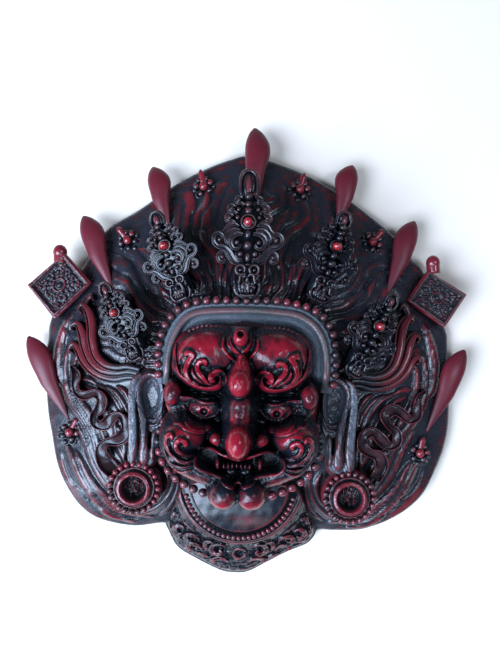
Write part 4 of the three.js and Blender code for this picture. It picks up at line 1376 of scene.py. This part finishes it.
def leaf_scrolls(side):
    leaf = Ornament()

    def mirrored(points):
        return [(side * x, *rest) for x, *rest in points]

    # Big outer scroll, carried by a broad rimmed band from the foot of the stem.
    leaf.band(mirrored([(2.4, 16.6, 1.3), (5.6, 16.2, 1.7), (8.8, 18.2, 2.2), (11.2, 22.2, 2.2),
                        (14.0, 25.2, 1.7), (17.6, 25.8, 1.4), (20.2, 28.2, 1.25), (20.2, 31.8, 1.15),
                        (17.8, 33.8, 1.0), (15.4, 32.8, 0.9), (15.0, 30.6, 0.8)]), 3.4)
    leaf.ball(side * 16.8, 29.8, 3.8, 1.5)
    # Lower scroll, tucked under the band.
    leaf.band(mirrored([(10.6, 20.6, 0.8), (13.0, 22.8, 1.1), (16.0, 22.6, 1.15), (17.8, 20.2, 1.1),
                        (17.0, 17.4, 1.0), (14.6, 16.8, 0.9), (13.4, 18.6, 0.7)]), 2.4)
    leaf.ball(side * 15.2, 19.7, 2.8, 1.5)
    # Inner spiral round its ball, and the crescent over it.
    leaf.band(mirrored([(3.0, 33.2, 0.9), (6.4, 33.4, 1.5), (9.6, 31.2, 1.7), (10.2, 27.6, 1.4),
                        (8.4, 24.8, 1.1), (5.6, 24.8, 0.9), (4.0, 27.2, 0.8)]), 4.2)
    leaf.ball(side * 6.5, 28.2, 4.6, 1.7)
    leaf.band(mirrored([(12.0, 26.4, 0.5), (13.2, 30.0, 1.2), (11.8, 33.4, 1.5), (8.6, 36.0, 1.3),
                        (4.6, 35.8, 0.6)]), 3.4)
    leaf.ball(side * 4.4, 21.4, 4.6, 1.9)
    leaf.tube(mirrored([(7.0, 23.0), (7.2, 20.6), (5.4, 18.8), (3.2, 18.6)]), 0.6, 3.8)
    # The upper wing.
    leaf.band(mirrored([(15.6, 34.0, 0.6), (13.2, 35.8, 1.2), (11.6, 38.2, 1.4), (8.4, 39.4, 1.3),
                        (5.4, 38.2, 0.6)]), 2.6)
    for x, y, reach, half in ((11.2, 43.0, 2.3, 0.9), (10.0, 48.6, 2.1, 0.85), (5.8, 53.8, 2.0, 0.85)):
        turn = np.radians(np.linspace(-130, 150, 7))
        points = [(x + reach * math.cos(a), y + reach * math.sin(a), half) for a in turn]
        leaf.band(mirrored([(x - 3.4, y - 3.0, half)] + points), 2.6)
        leaf.ball(side * x, y, 2.8, 1.2)
    leaf.ball(side * 6.4, 43.4, 2.4, 1.5)
    leaf.ball(side * 5.8, 48.2, 2.4, 1.4)
    # Eye rings of the skull, its brow and the rim round its jaw.
    leaf.ring(side * 4.1, 12.0, 6.4, 2.8, 1.0)
    leaf.ball(side * 4.1, 11.8, 4.8, 1.5)
    leaf.tube(mirrored([(0.4, 7.6), (1.8, 9.2), (3.8, 8.6), (4.4, 5.8), (5.0, 3.6)]), 0.8, 7.4)
    leaf.tube(mirrored([(6.8, 5.4), (7.4, 1.2), (5.6, -2.6), (1.6, -4.4)]), 0.9, 4.6)
    return leaf


TALL_LEAF = 72.0
LEAF = 68.5
JEWEL_AT = 40.7


def leaf_ornament(tall):
    """All of a leaf but its jewel. tall adds the long finial of the middle leaf."""
    leaf = Ornament()
    for side in (-1, 1):
        part = leaf_scrolls(side)
        leaf.meshes += part.meshes
        leaf.raised += part.raised
    # Backing plate.
    plate = curve_through([(0, 14, 4), (0, 18, 10), (0, 24, 12.5), (0, 30, 15), (0, 36, 12),
                           (0, 42, 11.6), (0, 48, 9.6), (0, 54, 6), (0, 58, 3.6)], 4)
    turn = np.arange(16) * 2 * math.pi / 16
    rings = [np.stack([w * np.cos(turn), y + 0 * turn, -0.9 + 1.3 * np.sin(turn)], axis=1)
             for _, y, w in plate]
    leaf.add(*lofted(np.array(rings)))
    leaf.raised[-1] = np.full(len(leaf.raised[-1]), 0.64)
    # Skull: a fluted jaw ball with teeth and a nose.
    leaf.ball(0, 2.0, 3.6, 5.7, 6.2, 4.6, ribs=9, around=36, rings=14)
    leaf.ball(0, 6.0, 6.6, 1.3, 2.4, 2.0)
    for x in (-2.6, -0.9, 0.9, 2.6):
        leaf.ball(x, -0.6 + 0.1 * abs(x), 7.4, 0.85, 1.6, 1.0)
    leaf.tube([(-5, 1.2), (-2.6, 2.2), (0, 1.8), (2.6, 2.2), (5, 1.2)], 0.65, 7.4)
    leaf.tube([(-4.6, -2.8), (0, -3.4), (4.6, -2.8)], 0.75, 6.6)
    # Stem.
    leaf.ball(0, 15.0, 4.6, 2.4, 1.1, 1.5)
    leaf.ball(0, 19.4, 4.8, 1.8, 3.2, 1.9)
    leaf.ball(0, 26.4, 5.2, 2.9)
    leaf.ball(0, 33.0, 4.6, 2.3, 3.0, 2.0, around=8, rings=5)
    leaf.ball(0, JEWEL_AT, 2.6, 4.4, 4.4, 1.6, around=24)
    leaf.ring(0, JEWEL_AT, 3.9, 4.2, 0.8, around=24)
    leaf.ball(0, 47.2, 4.2, 2.3)
    leaf.ball(0, 51.2, 4.0, 2.0)
    leaf.ball(0, 56.0, 4.0, 2.5)
    top = TALL_LEAF if tall else LEAF
    leaf.ball(0, (57 + top) / 2, 1.4, 4.6, (top - 56) / 2, 1.8, around=20, rings=14)
    leaf.tube([(-4.4, 57), (-5.0, 61), (-4.7, top - 4.5), (-2.6, top - 0.8), (0, top), (2.6, top - 0.8),
               (4.7, top - 4.5), (5.0, 61), (4.4, 57)], 0.95, 2.6, taper=(0.8, 0.8))
    leaf.tube([(0, 58), (0, 62), (0, top - 2.5)], 1.7, 2.8, height=1.9, taper=(0.8, 0.4))
    leaf.raised[-1] = leaf.raised[-1] + 0.22
    return leaf


CROWN = [  # tip, height at the skull and at the tip, sideways turn in degrees, width share
    ("middle", (-0.5, 109.4), 56, 60, 0, 1.0),
    ("inner_left", (-55.8, 83.6), 51, 57, -25, 0.9),
    ("inner_right", (57.6, 87.2), 51, 57, 25, 0.9),
    ("outer_left", (-87.5, 40.4), 47, 51, -20, 0.82),
    ("outer_right", (89.9, 39.2), 47, 51, 20, 0.82),
]


def leaf_web(spine, across):
    """The wall of resin that joins a leaf to the casting behind it, under its spine."""
    rings = []
    for point, half in zip(spine, np.linspace(4.6, 2.2, len(spine))):
        foot = float(casting_height(point[0], point[1])) - 3 - point[2]
        corners = [(-half, 0), (half, 0), (half * 1.25, foot), (-half * 1.25, foot)]
        rings.append([(*(point[:2] + a * across), point[2] + up) for a, up in corners])
    return lofted(np.array(rings))


for name, tip, skull_z, tip_z, turn, wide in CROWN:
    tall = name == "middle"
    length = TALL_LEAF if tall else LEAF
    skull = np.array(SKULLS[name])
    along = np.array(tip) - skull
    scale = np.linalg.norm(along) / length
    along = along / np.linalg.norm(along)
    across = np.array([along[1], -along[0]])
    wide = wide if tall else scale * wide / 0.74
    roll = math.radians(turn)

    def place_leaf(verts):
        """Stands a leaf's own plan on its skull, leant to its tip and turned sideways."""
        u = verts[:, 0] * wide * math.cos(roll) + verts[:, 2] * math.sin(roll)
        lift = verts[:, 2] * math.cos(roll) - verts[:, 0] * wide * math.sin(roll)
        v = verts[:, 1] * scale
        share = v / (length * scale)
        plan = skull + np.outer(u, across) + np.outer(v, along)
        bow = skull_z + (tip_z - skull_z) * share + 3.0 * np.sin(share * math.pi)
        return np.column_stack([plan, bow + lift])

    verts, faces, leaf_raised = leaf_ornament(tall).placed(place_leaf)
    spine = place_leaf(np.array([(0, y, -1.5) for y in np.linspace(3, length - 12, 12)]))
    web = leaf_web(spine, across)
    leaf = cast_piece("crown_" + name, *gathered([(verts, faces), web]), leaf_resin, spread=0)
    write_raised(leaf.data, np.concatenate([leaf_raised, np.full(len(web[0]), 0.05)]))
    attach(leaf, "root")
    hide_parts("mask")
    gem = Ornament()
    gem.ball(0, JEWEL_AT, 4.8, 2.7 if tall else 2.7 * 1.15, around=20, rings=13)
    verts, faces, gem_raised = gem.placed(place_leaf)
    jewel = cast_piece("jewel_" + name, verts, faces, jewel_resin, spread=0)
    write_raised(jewel.data, gem_raised)
    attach(jewel, "root")
    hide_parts("mask")


# ---- The two square plaques ----
# Lozenge plaques at the hair's edge with a raised border, a ringed boss and rows of dots,
# each with a round knob on its upper corner. They are cast with the fan and stand out over its edge.

plaque_resin = resin("plaque_resin", rubbed=-0.44, red=(0.17, 0.014, 0.022), edge=0.24, blotches=0.4,
                     pitting=0.5)
PLAQUE_FACE = 20.5
PLAQUE_SIDE = 15.5
PLAQUE_BACK = 9.0
PLAQUES = [  # four corners from the top round to the left, knob
    ("plaque_left", [(-122.4, 61.4), (-104.2, 42.4), (-127.7, 17.6), (-146.2, 39.4)], (-126.2, 62.6)),
    ("plaque_right", [(120.4, 57.8), (146.4, 42.8), (132.6, 20.6), (107.2, 37.6)], (124.2, 63.6)),
]


def plaque_front(corners, centre):
    """Relief in the plaque's own square plan, from -1 to 1 both ways."""
    corners = np.array(corners)
    one = (corners[1] + corners[2] - corners[0] - corners[3]) / 4
    two = (corners[0] + corners[1] - corners[2] - corners[3]) / 4
    inverse = np.linalg.inv(np.stack([one, two], axis=1))

    def front(x, y, share, angle):
        local = np.stack([x - centre[0], y - centre[1]], axis=-1) @ inverse.T
        u, v = local[..., 0], local[..., 1]
        border = np.maximum(np.abs(u), np.abs(v))
        far = np.hypot(u, v)
        rim = 1.5 * smooth_step(border, 0.84, 0.88)
        z = PLAQUE_FACE + rim * (1 - 0.6 * smooth_step(border, 0.93, 0.99))
        z = z - 0.9 * smooth_step(border, 0.7, 0.74) * (1 - smooth_step(border, 0.78, 0.82))
        z = z + 1.5 * np.exp(-(((far - 0.27) / 0.055) ** 2)) + 1.6 * np.exp(-((far / 0.13) ** 4))
        turn = np.arctan2(v, u)
        for ring, count, half in ((0.43, 13, 0.065), (0.6, 18, 0.065)):
            dots = (np.abs(((turn * count / (2 * math.pi)) % 1) - 0.5)) * 2 * math.pi * ring / count
            z = z + 1.3 * np.exp(-(((far - ring) / half) ** 2) - ((dots / 0.06) ** 2))
        rough = np.maximum(waves(x, y, 4.4, 73, 2), -0.3)
        z = z + 0.45 * rough * smooth_step(far, 0.3, 0.36) * (border < 0.8)
        for cu, cv in ((0.62, 0.62), (-0.62, 0.62), (0.62, -0.62), (-0.62, -0.62)):
            near = np.hypot(u - cu, v - cv)
            petals = 0.5 + 0.5 * np.cos(5 * np.arctan2(v - cv, u - cu))
            z = z + 1.2 * np.exp(-((near / 0.06) ** 2))
            z = z + 1.0 * petals * np.exp(-(((near - 0.13) / 0.045) ** 2))
        return z + 0.12 * waves(x, y, 5, 71)
    return front


for name, corners, knob in PLAQUES:
    centre = np.mean(corners, axis=0)
    sides = evenly(np.array(corners + corners[:1], float), 161)[:-1]
    reach = reach_of_line(sides, centre)
    plaque_mesh = ringed(centre, reach, 400, np.linspace(0.01, 1, 80), plaque_front(corners, centre), 100,
                         [(1.0, level_at(PLAQUE_SIDE)), (0.9, level_at(PLAQUE_BACK)),
                          (0.4, level_at(PLAQUE_BACK))])
    knobs = Ornament()
    knobs.ball(knob[0], knob[1], 18.0, 4.6, 5.0, 4.4, around=28, rings=21)
    toward = np.array(centre) - np.array(knob)
    toward = toward / np.linalg.norm(toward)
    knobs.tube([knob, tuple(np.array(knob) + toward * 7)], 3.3, 17.5, taper=(1, 1), around=14)
    verts, faces = gathered([plaque_mesh] + knobs.meshes)
    knob_rub = np.full(len(verts), 0.06)
    knob_rub[:len(plaque_mesh[0])] = 0
    plaque = cast_piece(name, verts, faces, plaque_resin, spread=10, scale=0.5, extra=knob_rub)
    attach(plaque, "root")
    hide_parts("mask")


# ---- The small flowers ----
# Six little clusters of beads on the hair, each with a pointed red bud towards the edge.
# They are cast with the hair, black between and rubbed red on the tops of the beads.

flower_resin = resin("flower_resin", rubbed=-0.3, red=(0.2, 0.014, 0.022), edge=0.2, blotches=0.5,
                     pitting=0.6)
FLOWERS = [(-31.3, 109.9), (33.3, 109.9), (-80.6, 71.7), (82.9, 76), (-115.1, -57.6), (118.8, -63.8)]
rng = np.random.default_rng(4)
for index, (x, y) in enumerate(FLOWERS):
    out = np.array([x, y]) - CENTRE
    out = out / np.linalg.norm(out)
    # The two low ones point up along the edge.
    if y < 0:
        out = np.array([-0.45 * np.sign(x), 0.9]) if x < 0 else np.array([0.2, 0.97])
    side = np.array([out[1], -out[0]])
    base = float(fan_height(x, y)) + 1.6
    flower = Ornament()
    for along, across, r, up, extra in (
        (0, 0, 3.0, 2.4, 0.25), (1.6, 4.6, 2.3, 1.2, 0.0), (1.2, -4.8, 2.4, 1.0, -0.1),
        (-3.6, 3.4, 2.4, 1.0, -0.15), (-4.4, -2.8, 2.2, 0.9, -0.2), (-7.2, 0.4, 2.3, 0.6, -0.2),
        (4.6, 2.4, 1.7, 0.8, -0.1), (4.4, -2.7, 1.8, 0.7, -0.2), (-1.2, 6.6, 1.5, 0.3, -0.3),
        (-1.6, -6.6, 1.6, 0.3, -0.3),
    ):
        at = np.array([x, y]) + out * along + side * across
        flower.ball(at[0], at[1], base + up, r, r * rng.uniform(0.8, 1.1), r * 0.9)
        flower.raised[-1] = flower.raised[-1] + extra
    for along, across in ((-7.2, 0.4), (-4.6, 4.2), (-4.8, -4.0)):
        low = np.array([x, y]) + out * along + side * across
        flower.ring(low[0], low[1], base + 0.4, 2.3, 0.8)
        flower.raised[-1] = flower.raised[-1] - 0.25
    spike = [np.array([x, y]) + out * d for d in (3.0, 6.0, 9.0, 11.5)]
    flower.tube([tuple(p) for p in spike], 1.7, base + 0.6, height=2.2, taper=(1.0, 0.3))
    flower.raised[-1] = flower.raised[-1] + 0.1
    verts, faces = gathered(flower.meshes)
    bloom = cast_piece(f"flower_{index + 1}", verts, faces, flower_resin, spread=0)
    write_raised(bloom.data, np.concatenate(flower.raised))
    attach(bloom, "root")
    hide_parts("mask")


# ---- Beads of the jaw and of the hairline ----
# A chain of beads follows the jaw from the ear to the chin, and fine ones edge the forehead.
# All are cast in place, black in the gaps and rubbed red on top.

HAIRLINE_HEIGHT = 61.5
HAIRLINE = [(11, 13.8), (18, 15.6), (25, 15.4), (32, 12.6)]
JAW_HEIGHT = 55.0
CHIN_RISE = 8.0
JAW = [(42, -38.5), (46.6, -43), (48.9, -48.7), (49.2, -55.3), (47.8, -62.3), (44.2, -69.4), (38.6, -75),
       (32.9, -78.8), (27.3, -81.6), (20.6, -83.8)]
for side, name in ((-1, "left"), (1, "right")):
    heights = JAW_HEIGHT + CHIN_RISE * np.linspace(0, 1, len(JAW))
    jaw = [(MIDDLE + side * x, y, z) for (x, y), z in zip(JAW, heights)]
    bead_row(f"jaw_beads_{name}", curve_through(jaw, 8), 11, 2.2, bead_resin, last_radius=2.8,
             length=1.05)
    hairline = [(MIDDLE + side * x, y, HAIRLINE_HEIGHT) for x, y in HAIRLINE]
    bead_row(f"hairline_beads_{name}", curve_through(hairline, 6), 9, 1.15, bead_resin)
